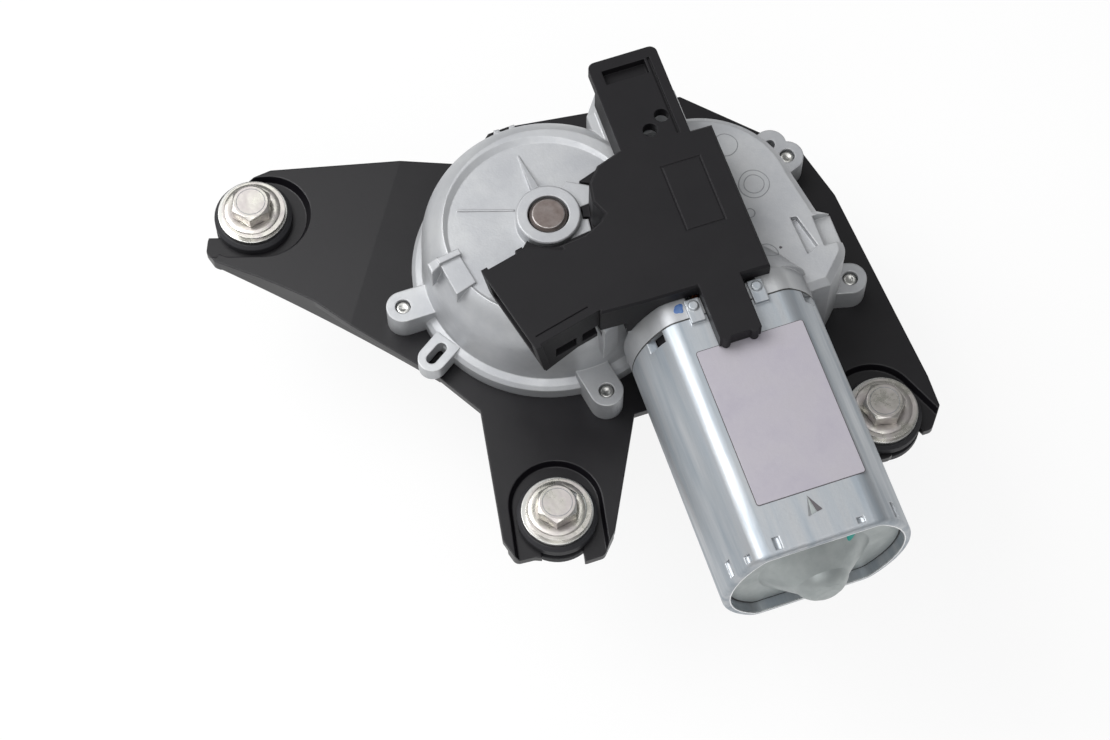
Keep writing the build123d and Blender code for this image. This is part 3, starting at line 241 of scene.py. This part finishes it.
edges_group, start, end = new_group(
    "soft edges", [("Radius", FLOAT, 0.0004), ("Break up", FLOAT, 900.0)],
    [("Mask", FLOAT), ("Normal", VECTOR)])
bevel = edges_group.nodes.new("ShaderNodeBevel")
bevel.samples = BEVEL_SAMPLES
edges_group.links.new(start.outputs["Radius"], bevel.inputs["Radius"])
geometry = edges_group.nodes.new("ShaderNodeNewGeometry")
dot = edges_group.nodes.new("ShaderNodeVectorMath")
dot.operation = "DOT_PRODUCT"
edges_group.links.new(bevel.outputs[0], dot.inputs[0])
edges_group.links.new(geometry.outputs["Normal"], dot.inputs[1])
bend = math_node(edges_group, "SUBTRACT", 1.0, dot.outputs["Value"])
strong = math_node(edges_group, "MULTIPLY", bend, EDGE_GAIN, clamp=True)
patchy = noise_node(edges_group, object_coordinates(edges_group), start.outputs["Break up"], 3.0)
patchy = math_node(edges_group, "MULTIPLY", patchy, WEAR_GAIN, clamp=True)
edges_group.links.new(math_node(edges_group, "MULTIPLY", strong, patchy), end.inputs["Mask"])
edges_group.links.new(bevel.outputs[0], end.inputs["Normal"])
print("soft edges group has", len(edges_group.nodes), "nodes")

# %% Grain and stains groups
COARSE_SCALE = 0.22
grain_group, start, end = new_group(
    "grain", [("Size", FLOAT, 2200.0), ("Coarse share", FLOAT, 0.35)], [("Height", FLOAT)])
where = object_coordinates(grain_group)
fine = noise_node(grain_group, where, start.outputs["Size"], 3.0, 0.6)
coarse_size = math_node(grain_group, "MULTIPLY", start.outputs["Size"], COARSE_SCALE)
coarse = noise_node(grain_group, where, coarse_size, 2.0)
coarse = math_node(grain_group, "MULTIPLY", coarse, start.outputs["Coarse share"])
grain_group.links.new(math_node(grain_group, "ADD", fine, coarse), end.inputs["Height"])

stains_group, start, end = new_group(
    "stains", [("Size", FLOAT, 45.0), ("Sharpness", FLOAT, 2.5), ("Stretch", VECTOR, (1, 1, 1))],
    [("Mask", FLOAT)])
stretched = stains_group.nodes.new("ShaderNodeVectorMath")
stretched.operation = "MULTIPLY"
stains_group.links.new(object_coordinates(stains_group), stretched.inputs[0])
stains_group.links.new(start.outputs["Stretch"], stretched.inputs[1])
clouds = noise_node(stains_group, stretched.outputs["Vector"], start.outputs["Size"], 6.0, 0.62)
centred = math_node(stains_group, "SUBTRACT", clouds, 0.5)
spread = math_node(stains_group, "MULTIPLY", centred, start.outputs["Sharpness"])
stains_group.links.new(math_node(stains_group, "ADD", spread, 0.5, clamp=True),
                       end.inputs["Mask"])
print("groups:", [g.name for g in bpy.data.node_groups])

# %% [markdown]
# ## One recipe, many finishes
# Every finish below mixes a main colour with a stain colour, lets the edge mask bring out what
# wear shows, and adds grain through a Bump node. Writing that recipe once keeps the finishes
# comparable: each call then reads like a maker's note on one material.

# %% The surface recipe
COAT_ROUGHNESS = 0.25
BUMP_DEPTH = 0.05 * MM
MIX_FACTOR, MIX_FIRST, MIX_SECOND, MIX_RESULT = 0, 6, 7, 2


def place_group(tree, group, **values):
    node = tree.nodes.new("ShaderNodeGroup")
    node.node_tree = group
    for label, value in values.items():
        node.inputs[label.replace("_", " ")].default_value = value
    return node


def mix_color(tree, factor, first, second):
    """A colour Mix node, which keeps its colour sockets behind the ones for other kinds."""
    node = tree.nodes.new("ShaderNodeMix")
    node.data_type = "RGBA"
    for place, value in ((MIX_FACTOR, factor), (MIX_FIRST, first), (MIX_SECOND, second)):
        if isinstance(value, (tuple, float, int)):
            node.inputs[place].default_value = value
        else:
            tree.links.new(value, node.inputs[place])
    return node.outputs[MIX_RESULT]


def surface(name, color, stain, worn, metallic, roughness, rough_spread=0.1, edge=0.35,
            edge_share=0.6, grain_size=2200.0, grain_share=0.35, bump=0.25, stain_size=45.0,
            stain_sharp=2.5, stretch=(1, 1, 1), coat=0.0, specular=0.5):
    """A Principled finish: main colour, stain colour, worn edge colour, grain and clouds."""
    material, tree, output = node_material(name)
    shader = tree.nodes.new("ShaderNodeBsdfPrincipled")
    shader.inputs["Metallic"].default_value = metallic
    shader.inputs["Specular IOR Level"].default_value = specular
    shader.inputs["Coat Weight"].default_value = coat
    shader.inputs["Coat Roughness"].default_value = COAT_ROUGHNESS
    edges = place_group(tree, edges_group, Radius=edge * MM)
    grain = place_group(tree, grain_group, Size=grain_size, Coarse_share=grain_share)
    stains = place_group(tree, stains_group, Size=stain_size, Sharpness=stain_sharp,
                         Stretch=stretch)
    base = mix_color(tree, stains.outputs["Mask"], (*color, 1), (*stain, 1))
    wear = math_node(tree, "MULTIPLY", edges.outputs["Mask"], edge_share)
    base = mix_color(tree, wear, base, (*worn, 1))
    tree.links.new(base, shader.inputs["Base Color"])
    shift = math_node(tree, "SUBTRACT", stains.outputs["Mask"], 0.5)
    shift = math_node(tree, "MULTIPLY", shift, rough_spread * 2)
    tree.links.new(math_node(tree, "ADD", shift, roughness, clamp=True),
                   shader.inputs["Roughness"])
    relief = tree.nodes.new("ShaderNodeBump")
    relief.inputs["Strength"].default_value = bump
    relief.inputs["Distance"].default_value = BUMP_DEPTH
    tree.links.new(grain.outputs["Height"], relief.inputs["Height"])
    tree.links.new(edges.outputs["Normal"], relief.inputs["Normal"])
    tree.links.new(relief.outputs[0], shader.inputs["Normal"])
    tree.links.new(shader.outputs[0], output.inputs["Surface"])
    return material


# %% [markdown]
# ## The finishes
# Pressure-cast aluminium comes out of the die light grey and matt, with clouds where the metal
# chilled first. The deep-drawn motor case is zinc plated, so it is bluer and smoother. Painted
# steel and glass-filled plastic are both black, and only gloss and grain tell them apart: paint
# flows into a soft sheen, the plastic keeps the spark-eroded skin of its mould.

# %% Cast and plated metals
cast = surface("cast_aluminium", (0.50, 0.51, 0.52), (0.41, 0.42, 0.44), (0.66, 0.66, 0.66),
               metallic=0.55, roughness=0.50, rough_spread=0.08, edge=0.5, edge_share=0.5,
               grain_size=1700.0, grain_share=0.9, bump=0.75, stain_size=60.0, stain_sharp=3.2)
# Painted shade: a dark grey for the print grooves, the groove at each bolt cap and the mark's left
# wall.
painted_shade_grey = surface("painted_shade_grey", (0.24, 0.25, 0.26), (0.30, 0.31, 0.32), (0.50, 0.50, 0.50),
                    metallic=0.4, roughness=0.6, edge=0.1, edge_share=0.3, bump=0.4)
# The light edge colour is wear, and also a painted highlight along the rolled rim of the case.
yoke_plate = surface("yoke_zinc", (0.482, 0.50, 0.52), (0.34, 0.38, 0.42), (0.74, 0.75, 0.76),
                     metallic=0.75, roughness=0.47, rough_spread=0.10, edge=0.4, edge_share=0.8,
                     grain_size=1500.0, grain_share=0.9, bump=0.42, stain_size=230.0,
                     stain_sharp=3.4, stretch=(1.0, 0.07, 1.0))
end_plate_zinc = surface("end_plate_zinc", (0.43, 0.46, 0.455), (0.34, 0.37, 0.37),
                         (0.56, 0.58, 0.58), metallic=0.6, roughness=0.50, rough_spread=0.08,
                         edge=0.4, edge_share=0.5, grain_size=1500.0, grain_share=0.8, bump=0.4,
                         stain_size=120.0, stain_sharp=3.0)
bright_zinc = surface("bright_zinc", (0.60, 0.60, 0.58), (0.50, 0.50, 0.48),
                      (0.75, 0.75, 0.73), metallic=1.0, roughness=0.30, rough_spread=0.08,
                      grain_size=1300.0, bump=0.15, stain_size=90.0)
yellow_zinc = surface("yellow_zinc", (0.55, 0.54, 0.49), (0.47, 0.44, 0.43),
                      (0.85, 0.84, 0.80), metallic=1.0, roughness=0.32, rough_spread=0.10,
                      edge=0.25, edge_share=0.9, grain_size=900.0, grain_share=5.0, bump=0.4,
                      stain_size=190.0, stain_sharp=5.0)

# %% Steel, bronze and copper
shaft_steel = surface("shaft_steel", (0.24, 0.21, 0.20), (0.15, 0.12, 0.11),
                      (0.80, 0.79, 0.78), metallic=0.85, roughness=0.45, rough_spread=0.1,
                      edge=0.5, edge_share=1.0, grain_size=1500.0, bump=0.5, stain_size=300.0,
                      stain_sharp=3.5)
oiled_bronze = surface("oiled_bronze", (0.030, 0.022, 0.016), (0.020, 0.014, 0.010),
                       (0.08, 0.06, 0.04), metallic=0.4, roughness=0.45, grain_size=3000.0)
core_steel = surface("core_steel", (0.24, 0.24, 0.25), (0.14, 0.12, 0.11), (0.5, 0.5, 0.5),
                     metallic=0.8, roughness=0.5, grain_size=2500.0)
bronze = surface("bronze", (0.45, 0.28, 0.13), (0.30, 0.17, 0.08), (0.65, 0.46, 0.26),
                 metallic=0.9, roughness=0.5, grain_size=3000.0)
copper = surface("copper", (0.70, 0.33, 0.17), (0.52, 0.20, 0.09), (0.85, 0.50, 0.30),
                 metallic=0.9, roughness=0.35, grain_size=2600.0)
print("with the metals:", [m.name for m in bpy.data.materials])

# %% Paint, plastic, rubber and the rest
black_paint = surface("black_paint", (0.004, 0.0035, 0.005), (0.007, 0.0065, 0.008),
                      (0.030, 0.029, 0.033), metallic=0.0, roughness=0.36, rough_spread=0.05,
                      edge=0.5, edge_share=0.7, grain_size=700.0, grain_share=0.9, bump=0.2,
                      stain_size=30.0, specular=0.36)
black_plastic = surface("black_plastic", (0.006, 0.0055, 0.007), (0.009, 0.0085, 0.010),
                        (0.030, 0.029, 0.032), metallic=0.0, roughness=0.56, rough_spread=0.05,
                        edge=0.35, edge_share=0.6, grain_size=3200.0, grain_share=0.5, bump=0.5,
                        stain_size=50.0, specular=0.24)
rubber = surface("rubber", (0.020, 0.020, 0.023), (0.030, 0.030, 0.033), (0.050, 0.050, 0.053),
                 metallic=0.0, roughness=0.62, edge=0.5, grain_size=1500.0, bump=0.3,
                 stain_size=70.0, specular=0.3)
gear_plastic = surface("gear_plastic", (0.74, 0.71, 0.62), (0.66, 0.60, 0.48),
                       (0.82, 0.80, 0.73), metallic=0.0, roughness=0.4, bump=0.1)
ferrite = surface("ferrite", (0.07, 0.07, 0.075), (0.05, 0.05, 0.052), (0.15, 0.15, 0.15),
                  metallic=0.3, roughness=0.6)
carbon = surface("carbon", (0.05, 0.045, 0.045), (0.08, 0.06, 0.05), (0.12, 0.1, 0.09),
                 metallic=0.4, roughness=0.6)
board_green = surface("board_green", (0.02, 0.13, 0.06), (0.015, 0.10, 0.05),
                      (0.06, 0.2, 0.1), metallic=0.0, roughness=0.3, coat=0.5, bump=0.1)
print(len(bpy.data.materials), "materials so far")

# %% [markdown]
# ## Dressing the nodes
# A finish is chosen against its neighbours: the black cover beside the black bracket, the plated
# case against the cast face. A table from node to finish keeps that choice in one place, and a
# node that was forgotten stops the script with its own name.

# %% Dress the CAD nodes
finish_of = {
    "gear_housing": cast, "bearing_tower": cast, "mounting_bracket": black_paint,
    "motor_yoke": yoke_plate, "yoke_end_plate": end_plate_zinc,
    "electronics_cover": black_plastic,
    "housing_screws": bright_zinc, "tower_rivets": bright_zinc, "circlip": bright_zinc,
    "wheel_thrust_washer": bright_zinc, "bearing_retainer": bright_zinc,
    "left_brush_spring": bright_zinc, "right_brush_spring": bright_zinc,
    "spacer_sleeves": bright_zinc, "bolt_washers": yellow_zinc, "mounting_bolts": yellow_zinc,
    "output_shaft": shaft_steel, "armature_shaft": shaft_steel, "thrust_pad": shaft_steel,
    "armature_core": core_steel, "armature_windings": copper, "commutator": copper,
    "motor_leads": copper, "connector_pins": copper, "upper_shaft_bush": oiled_bronze,
    "lower_shaft_bushes": bronze, "worm_front_bearing": bronze, "worm_end_bearing": bronze,
    "rear_bearing": bronze, "worm_wheel": gear_plastic, "magnets": ferrite,
    "left_brush": carbon, "right_brush": carbon, "grommets": rubber, "shaft_seal": rubber,
    "housing_gasket": rubber, "brush_holder": black_plastic, "control_board": board_green,
    "board_components": black_plastic,
}
for name, node in nodes.items():
    node.data.materials.clear()
    node.data.materials.append(finish_of[name])
print("dressed", len(nodes), "nodes")

# %% [markdown]
# ## Making a piece
# Each added detail is first drawn point by point in a bmesh, which is a mesh in the making. It
# then becomes an object, gets its finish, and is told which body it rides on, so that it follows
# that body when the model is posed. Most details are rings of points joined by faces, like a
# knitted tube, so that joining is written once too.

# %% Pieces from a mesh in the making


def motor_piece(name, work, material):
    """Turn a finished bmesh into a piece that stands still with the motor's housing."""
    mesh = bpy.data.meshes.new(name)
    work.to_mesh(mesh)
    work.free()
    piece = mesh_object(name, mesh)
    piece.data.materials.append(material)
    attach(piece, STATIC)
    return piece


def web(work, loops):
    """Join closed rings of points, each with the next, by four-sided faces."""
    for first, second in zip(loops, loops[1:]):
        for step in range(len(first)):
            after = (step + 1) % len(first)
            work.faces.new((first[step], first[after], second[after], second[step]))


# %% [markdown]
# ## The foil plate on the motor
# The flat of the motor case carries a large plain foil plate, a slightly pinkish sheet with a
# dark hairline of shadow where its edge lifts. Two flat cards with rounded corners give it: the
# foil, and under it a dark sheet that reaches a little further and paints that shadow line.

# %% Foil plate
FLAT_Z = 65.0
FOIL_SIDES, FOIL_CORNER = (21.5, 50.2, -97.3, -53.0), 0.6
SHADOW_SHEET_SIDES, SHADOW_SHEET_CORNER = (21.28, 50.4, -97.5, -52.8), 0.8
FOIL_LIFTS = (0.05, 0.2)
SHADOW_SHEET_LIFTS = (-0.02, 0.06)
foil = surface("foil_plate", (0.44, 0.42, 0.46), (0.38, 0.36, 0.41), (0.62, 0.60, 0.62),
               metallic=0.35, roughness=0.46, rough_spread=0.12, edge=0.1, grain_size=2600.0,
               grain_share=0.8, bump=0.35, stain_size=90.0, stain_sharp=3.0)


def rounded_outline(sides, radius, steps=6):
    x0, x1, y0, y1 = sides
    points = []
    corners = ((x1 - radius, y1 - radius, 0), (x0 + radius, y1 - radius, 90),
               (x0 + radius, y0 + radius, 180), (x1 - radius, y0 + radius, 270))
    for cx, cy, first in corners:
        for step in range(steps + 1):
            angle = math.radians(first + 90 * step / steps)
            points.append((cx + radius * math.cos(angle), cy + radius * math.sin(angle)))
    return points


def plate_piece(name, outline, lifts, material, soften):
    """A flat plate on the case, from an outline and two heights, with its edges broken."""
    low, high = lifts
    work = bmesh.new()
    bottom = [work.verts.new((x * MM, y * MM, (FLAT_Z + low) * MM)) for x, y in outline]
    face = work.faces.new(bottom)
    grown = bmesh.ops.extrude_face_region(work, geom=[face])
    raised = [v for v in grown["geom"] if isinstance(v, bmesh.types.BMVert)]
    bmesh.ops.translate(work, verts=raised, vec=(0, 0, (high - low) * MM))
    bmesh.ops.recalc_face_normals(work, faces=work.faces)
    piece = motor_piece(name, work, material)
    bevel = piece.modifiers.new("soften", "BEVEL")
    bevel.width = soften * MM
    bevel.segments = 2


# A dark sheet a little larger than the foil: painted shadow under the foil's edge.
edge_shadow_paint = surface("foil_edge_painted_shadow", (0.10, 0.09, 0.10), (0.06, 0.06, 0.06), (0.15, 0.15, 0.15),
                   metallic=0.0, roughness=0.6, edge=0.05)
plate_piece("foil_shadow_sheet", rounded_outline(SHADOW_SHEET_SIDES, SHADOW_SHEET_CORNER), SHADOW_SHEET_LIFTS, edge_shadow_paint,
            soften=0.01)
plate_piece("foil_plate", rounded_outline(FOIL_SIDES, FOIL_CORNER), FOIL_LIFTS, foil,
            soften=0.04)

# %% [markdown]
# ## Marks on the castings
# A casting carries the round prints of the pins that push it out of the die, and assembly leaves
# dabs of marking paint. The prints are thin raised rings in a dark grey that paints the shade of
# their grooves. Each one is a small web of rings laid on the skin: every point is dropped
# along a ray until it meets the surface, so the mark follows whatever shape lies under it.

# %% Patches that follow the skin
PATCH_STEPS = 40
PATCH_WAVES = 3
DROP_FROM = 12
CLOSED_BELOW = 0.2


def skin_of(node_name):
    mesh = nodes[node_name].data
    corners = [vertex.co.copy() for vertex in mesh.vertices]
    return BVHTree.FromPolygons(corners, [tuple(face.vertices) for face in mesh.polygons])


def patch_points(skin, centre, facing, radius, height, waver, rng):
    """One ring of a patch, dropped onto the skin and lifted; radius and height in millimetres."""
    side = facing.orthogonal().normalized()
    up = facing.cross(side)
    wobble = [rng.uniform(0, math.tau) for _ in range(PATCH_WAVES)]
    points = []
    for step in range(PATCH_STEPS):
        angle = math.tau * step / PATCH_STEPS
        waves = sum(math.sin((k + 2) * angle + wobble[k]) for k in range(PATCH_WAVES))
        swell = 1 + waver * waves / PATCH_WAVES
        away = (side * math.cos(angle) + up * math.sin(angle)) * radius * swell
        hit = skin.ray_cast((centre + away + facing * DROP_FROM) * MM, -facing)[0]
        points.append(hit + facing * height * MM if hit else (centre + away) * MM)
    return points


def skin_patch(name, node_name, centre, facing, rings, material, waver=0.0, seed=1):
    """A patch whose rings are (radius, height) pairs from the middle outwards, on one node."""
    centre, facing = Vector(centre), Vector(facing).normalized()
    skin = skin_of(node_name)
    work = bmesh.new()
    loops = []
    for radius, height in rings:
        points = patch_points(skin, centre, facing, radius, height, waver, random.Random(seed))
        loops.append([work.verts.new(point) for point in points])
    web(work, loops[::-1])
    if rings[0][0] < CLOSED_BELOW:
        work.faces.new(loops[0])
    motor_piece(name, work, material).data.shade_smooth()


# %% Ejector prints
UP = (0, 0, 1)
BODY_Z = 54.0
PRINT_WIDTH, PRINT_HEIGHT, PRINT_FOOT = 0.16, 0.08, -0.03


def ejector_print(radius):
    return [(radius - PRINT_WIDTH, PRINT_FOOT), (radius - PRINT_WIDTH / 2, PRINT_HEIGHT),
            (radius + PRINT_WIDTH / 2, PRINT_HEIGHT), (radius + PRINT_WIDTH, PRINT_FOOT)]


ejector_prints = [("print_large", (55.1, -6.9), 4.1), ("print_middle", (55.1, -6.9), 2.7),
                  ("print_rear", (52.0, 6.6), 3.3), ("print_front", (51.0, -27.6), 3.0),
                  ("print_small", (51.1, -14.7), 1.3)]
for name, (x, y), radius in ejector_prints:
    skin_patch(name, "gear_housing", (x, y, BODY_Z), UP, ejector_print(radius), painted_shade_grey,
               waver=0.03)
print("ejector prints:", len(ejector_prints))

# %% Paint dabs
DAB_HEIGHT, DAB_FOOT = 0.07, -0.02


def paint_dab(radius):
    return [(0.05, DAB_HEIGHT), (radius * 0.7, DAB_HEIGHT), (radius * 0.93, DAB_HEIGHT * 0.8),
            (radius, DAB_FOOT)]


blue_paint = surface("blue_marking_paint", (0.02, 0.10, 0.36), (0.10, 0.18, 0.36),
                     (0.10, 0.25, 0.55), metallic=0.0, roughness=0.45, edge=0.05,
                     stain_size=500.0)
green_paint = surface("green_marking_paint", (0.0, 0.40, 0.33), (0.0, 0.28, 0.25),
                      (0.05, 0.5, 0.4), metallic=0.0, roughness=0.45, edge=0.05,
                      stain_size=500.0)
# Dark grey for a fleck of smear, and painted shade on the pierced mark's right wall.
smear_and_painted_shade = surface("smear_and_painted_shade", (0.10, 0.09, 0.10), (0.05, 0.05, 0.05), (0.15, 0.15, 0.15),
                     metallic=0.3, roughness=0.5, edge=0.05)
skin_patch("blue_dab", "gear_housing", (21.5, -39.9, 65.0), UP, paint_dab(1.35), blue_paint,
           waver=0.3, seed=4)
skin_patch("green_dab", "yoke_end_plate", (43.6, -108.3, 56.9), (0.0, -1, 0.05),
           paint_dab(2.3), green_paint, waver=0.25, seed=9)
skin_patch("dark_fleck", "gear_housing", (55.1, -26.8, BODY_Z), UP, paint_dab(0.4), smear_and_painted_shade,
           waver=0.2, seed=5)

# %% [markdown]
# ## Turned details
# Several small round things finish the assembly: the nose of the bearing cone is pressed into one
# smooth dome, each housing screw shows a chamfered thread end with a dimple, and each forged bolt
# head stands on a rounded flange and has a thin dark ring of painted shade where its cap begins.
# Each is one profile spun about its own axis.

# %% Spinning a profile
SPIN_STEPS = 48


def spun_piece(name, profile, origin, axis, material):
    """Spin (radius, height) points in millimetres about an axis through the origin."""
    axis = Vector(axis).normalized()
    turn = Vector((0, 0, 1)).rotation_difference(axis)
    work = bmesh.new()
    loops = []
    for radius, height in profile:
        loop = []
        for step in range(SPIN_STEPS):
            angle = math.tau * step / SPIN_STEPS
            point = Vector((radius * math.cos(angle), radius * math.sin(angle), height))
            loop.append(work.verts.new((Vector(origin) + turn @ point) * MM))
        loops.append(loop)
    web(work, loops)
    motor_piece(name, work, material).data.shade_smooth()


# %% Nose of the bearing cone
MOTOR_AXIS_X, MOTOR_AXIS_Z = 33.75, 45.0
NOSE_TIP_Y = -118.5
TO_THE_END = (0, -1, 0)
nose_profile = [(9.2, -7.05), (8.4, -5.9), (7.7, -4.75), (7.15, -3.7), (6.6, -2.75), (5.9, -1.85),
                (5.0, -1.1), (3.9, -0.5), (2.6, -0.12), (1.3, 0.0), (1.05, -0.12), (1.0, -0.9),
                (0.02, -0.9)]
spun_piece("cone_nose", nose_profile, (MOTOR_AXIS_X, NOSE_TIP_Y, MOTOR_AXIS_Z), TO_THE_END,
           end_plate_zinc)
print("nose ends at", NOSE_TIP_Y)

# %% Thread ends in the ears
SCREW_PLACES = ((-41.4, -0.8), (1.9, -41.7), (74.7, -31.8), (72.0, 8.7))
SCREW_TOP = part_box("housing_screws")[1].z / MM
thread_end = [(1.95, -0.3), (1.95, 0.0), (1.55, 0.28), (1.1, 0.30), (0.75, 0.12), (0.3, -0.02),
              (0.02, -0.05)]
for number, (x, y) in enumerate(SCREW_PLACES, 1):
    spun_piece(f"thread_end_{number}", thread_end, (x, y, SCREW_TOP), UP, bright_zinc)
print("screw tops at", round(SCREW_TOP, 2))

# %% Bolt flanges and cap rings of painted shade
BOLT_PLACES = {"left": (-70.7, 44.0), "front": (-20.8, -67.6), "right": (70.2, -68.4)}
flange_profile = [(7.75, -0.1), (7.75, 0.16), (7.55, 0.3), (6.6, 0.34), (5.3, 0.34), (5.2, 0.3)]
cap_profile = [(4.02, -0.04), (3.98, 0.07), (3.84, 0.07), (3.8, -0.04)]
WASHER_EDGE = 7.0
LOOK_FROM = 90
washer_skin = skin_of("bolt_washers")
bolt_skin = skin_of("mounting_bolts")


def skin_height(skin, x, y):
    hit = skin.ray_cast(Vector((x, y, LOOK_FROM)) * MM, Vector((0, 0, -1)))[0]
    return hit.z / MM


for side, (x, y) in BOLT_PLACES.items():
    washer_top = skin_height(washer_skin, x + WASHER_EDGE, y)
    spun_piece(f"{side}_bolt_flange", flange_profile, (x, y, washer_top), UP, yellow_zinc)
    head_top = skin_height(bolt_skin, x, y)
    # A dark ring at the cap: painted shade of the groove there.
    spun_piece(f"{side}_cap_shade_ring", cap_profile, (x, y, head_top), UP, painted_shade_grey)
print("bolts dressed:", len(BOLT_PLACES))

# %% [markdown]
# ## Lines that follow the case
# Where the case butts against the casting, a dark line of sealant and painted shadow runs all
# round. The pressed-in end plate leaves a dark seam of the same form, and the rim that was rolled
# over it is drawn as a bright band of painted highlight. All three follow the case's outline: two
# big arcs, two flats and four small arcs that join them, so one function draws them with its own
# distance from that outline.

# %% The case's outline
CASE_R, CASE_FLAT, CASE_CORNER, CASE_WALL = 25.5, 20.0, 5.5, 2.0
CASE_END_Y, END_PLATE_Y = -111.3, -108.3


def case_outline(offset, steps=14):
    """The case's outline in (across, up) millimetres about the motor's axis."""
    up = CASE_FLAT - CASE_CORNER
    across = math.sqrt((CASE_R - CASE_CORNER) ** 2 - up ** 2)
    join = math.degrees(math.atan2(up, across))
    arcs = [(0, 0, CASE_R, -join, join), (across, up, CASE_CORNER, join, 90),
            (-across, up, CASE_CORNER, 90, 180 - join), (0, 0, CASE_R, 180 - join, 180 + join),
            (-across, -up, CASE_CORNER, 180 + join, 270),
            (across, -up, CASE_CORNER, 270, 360 - join)]
    points = []
    for cx, cz, radius, first, last in arcs:
        for step in range(steps):
            angle = math.radians(first + (last - first) * step / (steps - 1))
            reach = radius + offset
            points.append((cx + reach * math.cos(angle), cz + reach * math.sin(angle)))
    return points


def outline_line(name, section, material):
    """A closed line round the case; section holds (y, distance from the outline) pairs."""
    work = bmesh.new()
    rings = []
    for y, lift in section:
        rings.append([work.verts.new(((MOTOR_AXIS_X + a) * MM, y * MM, (MOTOR_AXIS_Z + b) * MM))
                      for a, b in case_outline(lift)])
    web(work, rings)
    motor_piece(name, work, material)


print("points in the outline:", len(case_outline(0)))

# %% Joint line, end seam and rim
JOINT_START, JOINT_END, JOINT_LIFT = -43.55, -43.15, 0.05
SEAM_WIDTH, SEAM_LIFT = 0.45, 0.04
RIM_WIDTH, RIM_LIFT, RIM_DEPTH = 0.30, 0.03, 0.35
BEHIND = 0.02
# One dark colour for the joint line and the end seam: sealant and painted shadow in the gaps.
sealant_and_painted_shadow = surface("sealant_and_painted_shadow", (0.02, 0.02, 0.02), (0.05, 0.05, 0.05), (0.08, 0.08, 0.08),
                  metallic=0.0, roughness=0.6, edge=0.05, stain_size=300.0)
# Bright metal on the rolled rim: a painted highlight.
rim_painted_highlight = surface("rim_painted_highlight", (0.80, 0.81, 0.82), (0.70, 0.71, 0.72), (0.85, 0.85, 0.85),
                     metallic=0.9, roughness=0.30, edge=0.05, bump=0.2, stain_size=200.0)
outline_line("joint_line", [(JOINT_START, -JOINT_LIFT), (JOINT_START, JOINT_LIFT),
                            (JOINT_END, JOINT_LIFT), (JOINT_END, -JOINT_LIFT)], sealant_and_painted_shadow)
seam_front, seam_back = END_PLATE_Y - SEAM_LIFT, END_PLATE_Y + BEHIND
seam_out, seam_in = -CASE_WALL, -CASE_WALL - SEAM_WIDTH
outline_line("end_seam", [(seam_back, seam_out), (seam_front, seam_out),
                          (seam_front, seam_in), (seam_back, seam_in)], sealant_and_painted_shadow)
rim_front = CASE_END_Y - RIM_LIFT
rim_out, rim_in = RIM_WIDTH - CASE_WALL, -CASE_WALL - BEHIND
outline_line("rim_painted_highlight", [(CASE_END_Y + BEHIND, rim_out), (rim_front, rim_out),
                            (rim_front, rim_in), (CASE_END_Y + RIM_DEPTH, rim_in)], rim_painted_highlight)
print("lines at y", JOINT_START, seam_front, rim_front)

# %% [markdown]
# ## The pierced mark on the case
# Near the end of the case a punch has pressed a three-cornered mark. Its floor falls towards the
# base of the triangle, so its two long walls start as hairlines and grow wider. The walls are
# dark from painted shade: dark grey on the left, darker on the right.

# %% Pierced mark
MARK_TIP = (34.0, -98.6)
MARK_BASE = ((32.4, -104.0), (36.4, -103.2))
FLOOR_IN_LEFT, FLOOR_IN_RIGHT = (0.85, 0.15), (1.5, 0.3)
WALL_RISE, WALL_LIFT, FLOOR_LIFT, SHEET = 0.12, 0.04, 0.03, 0.03


def mark_piece(name, corners, lift, material):
    """One thin three-cornered facet on the case, from (x, y, rise) corners in millimetres."""
    work = bmesh.new()
    points = [work.verts.new((x * MM, y * MM, (FLAT_Z + lift + rise) * MM))
              for x, y, rise in corners]
    work.faces.new(points)
    piece = motor_piece(name, work, material)
    piece.modifiers.new("thickness", "SOLIDIFY").thickness = SHEET * MM


(left_x, left_y), (right_x, right_y) = MARK_BASE
tip = (*MARK_TIP, 0)
left_top, right_top = (left_x, left_y, WALL_RISE), (right_x, right_y, WALL_RISE)
left_foot = (left_x + FLOOR_IN_LEFT[0], left_y + FLOOR_IN_LEFT[1], 0)
right_foot = (right_x - FLOOR_IN_RIGHT[0], right_y - FLOOR_IN_RIGHT[1], 0)
# The two walls carry painted shade, the right one darker than the left.
mark_piece("mark_left_wall", [tip, left_top, left_foot], WALL_LIFT, painted_shade_grey)
mark_piece("mark_floor", [tip, left_foot, right_foot], FLOOR_LIFT, end_plate_zinc)
mark_piece("mark_right_wall", [tip, right_foot, right_top], WALL_LIFT, smear_and_painted_shade)
print("mark from", MARK_TIP, "to", MARK_BASE)
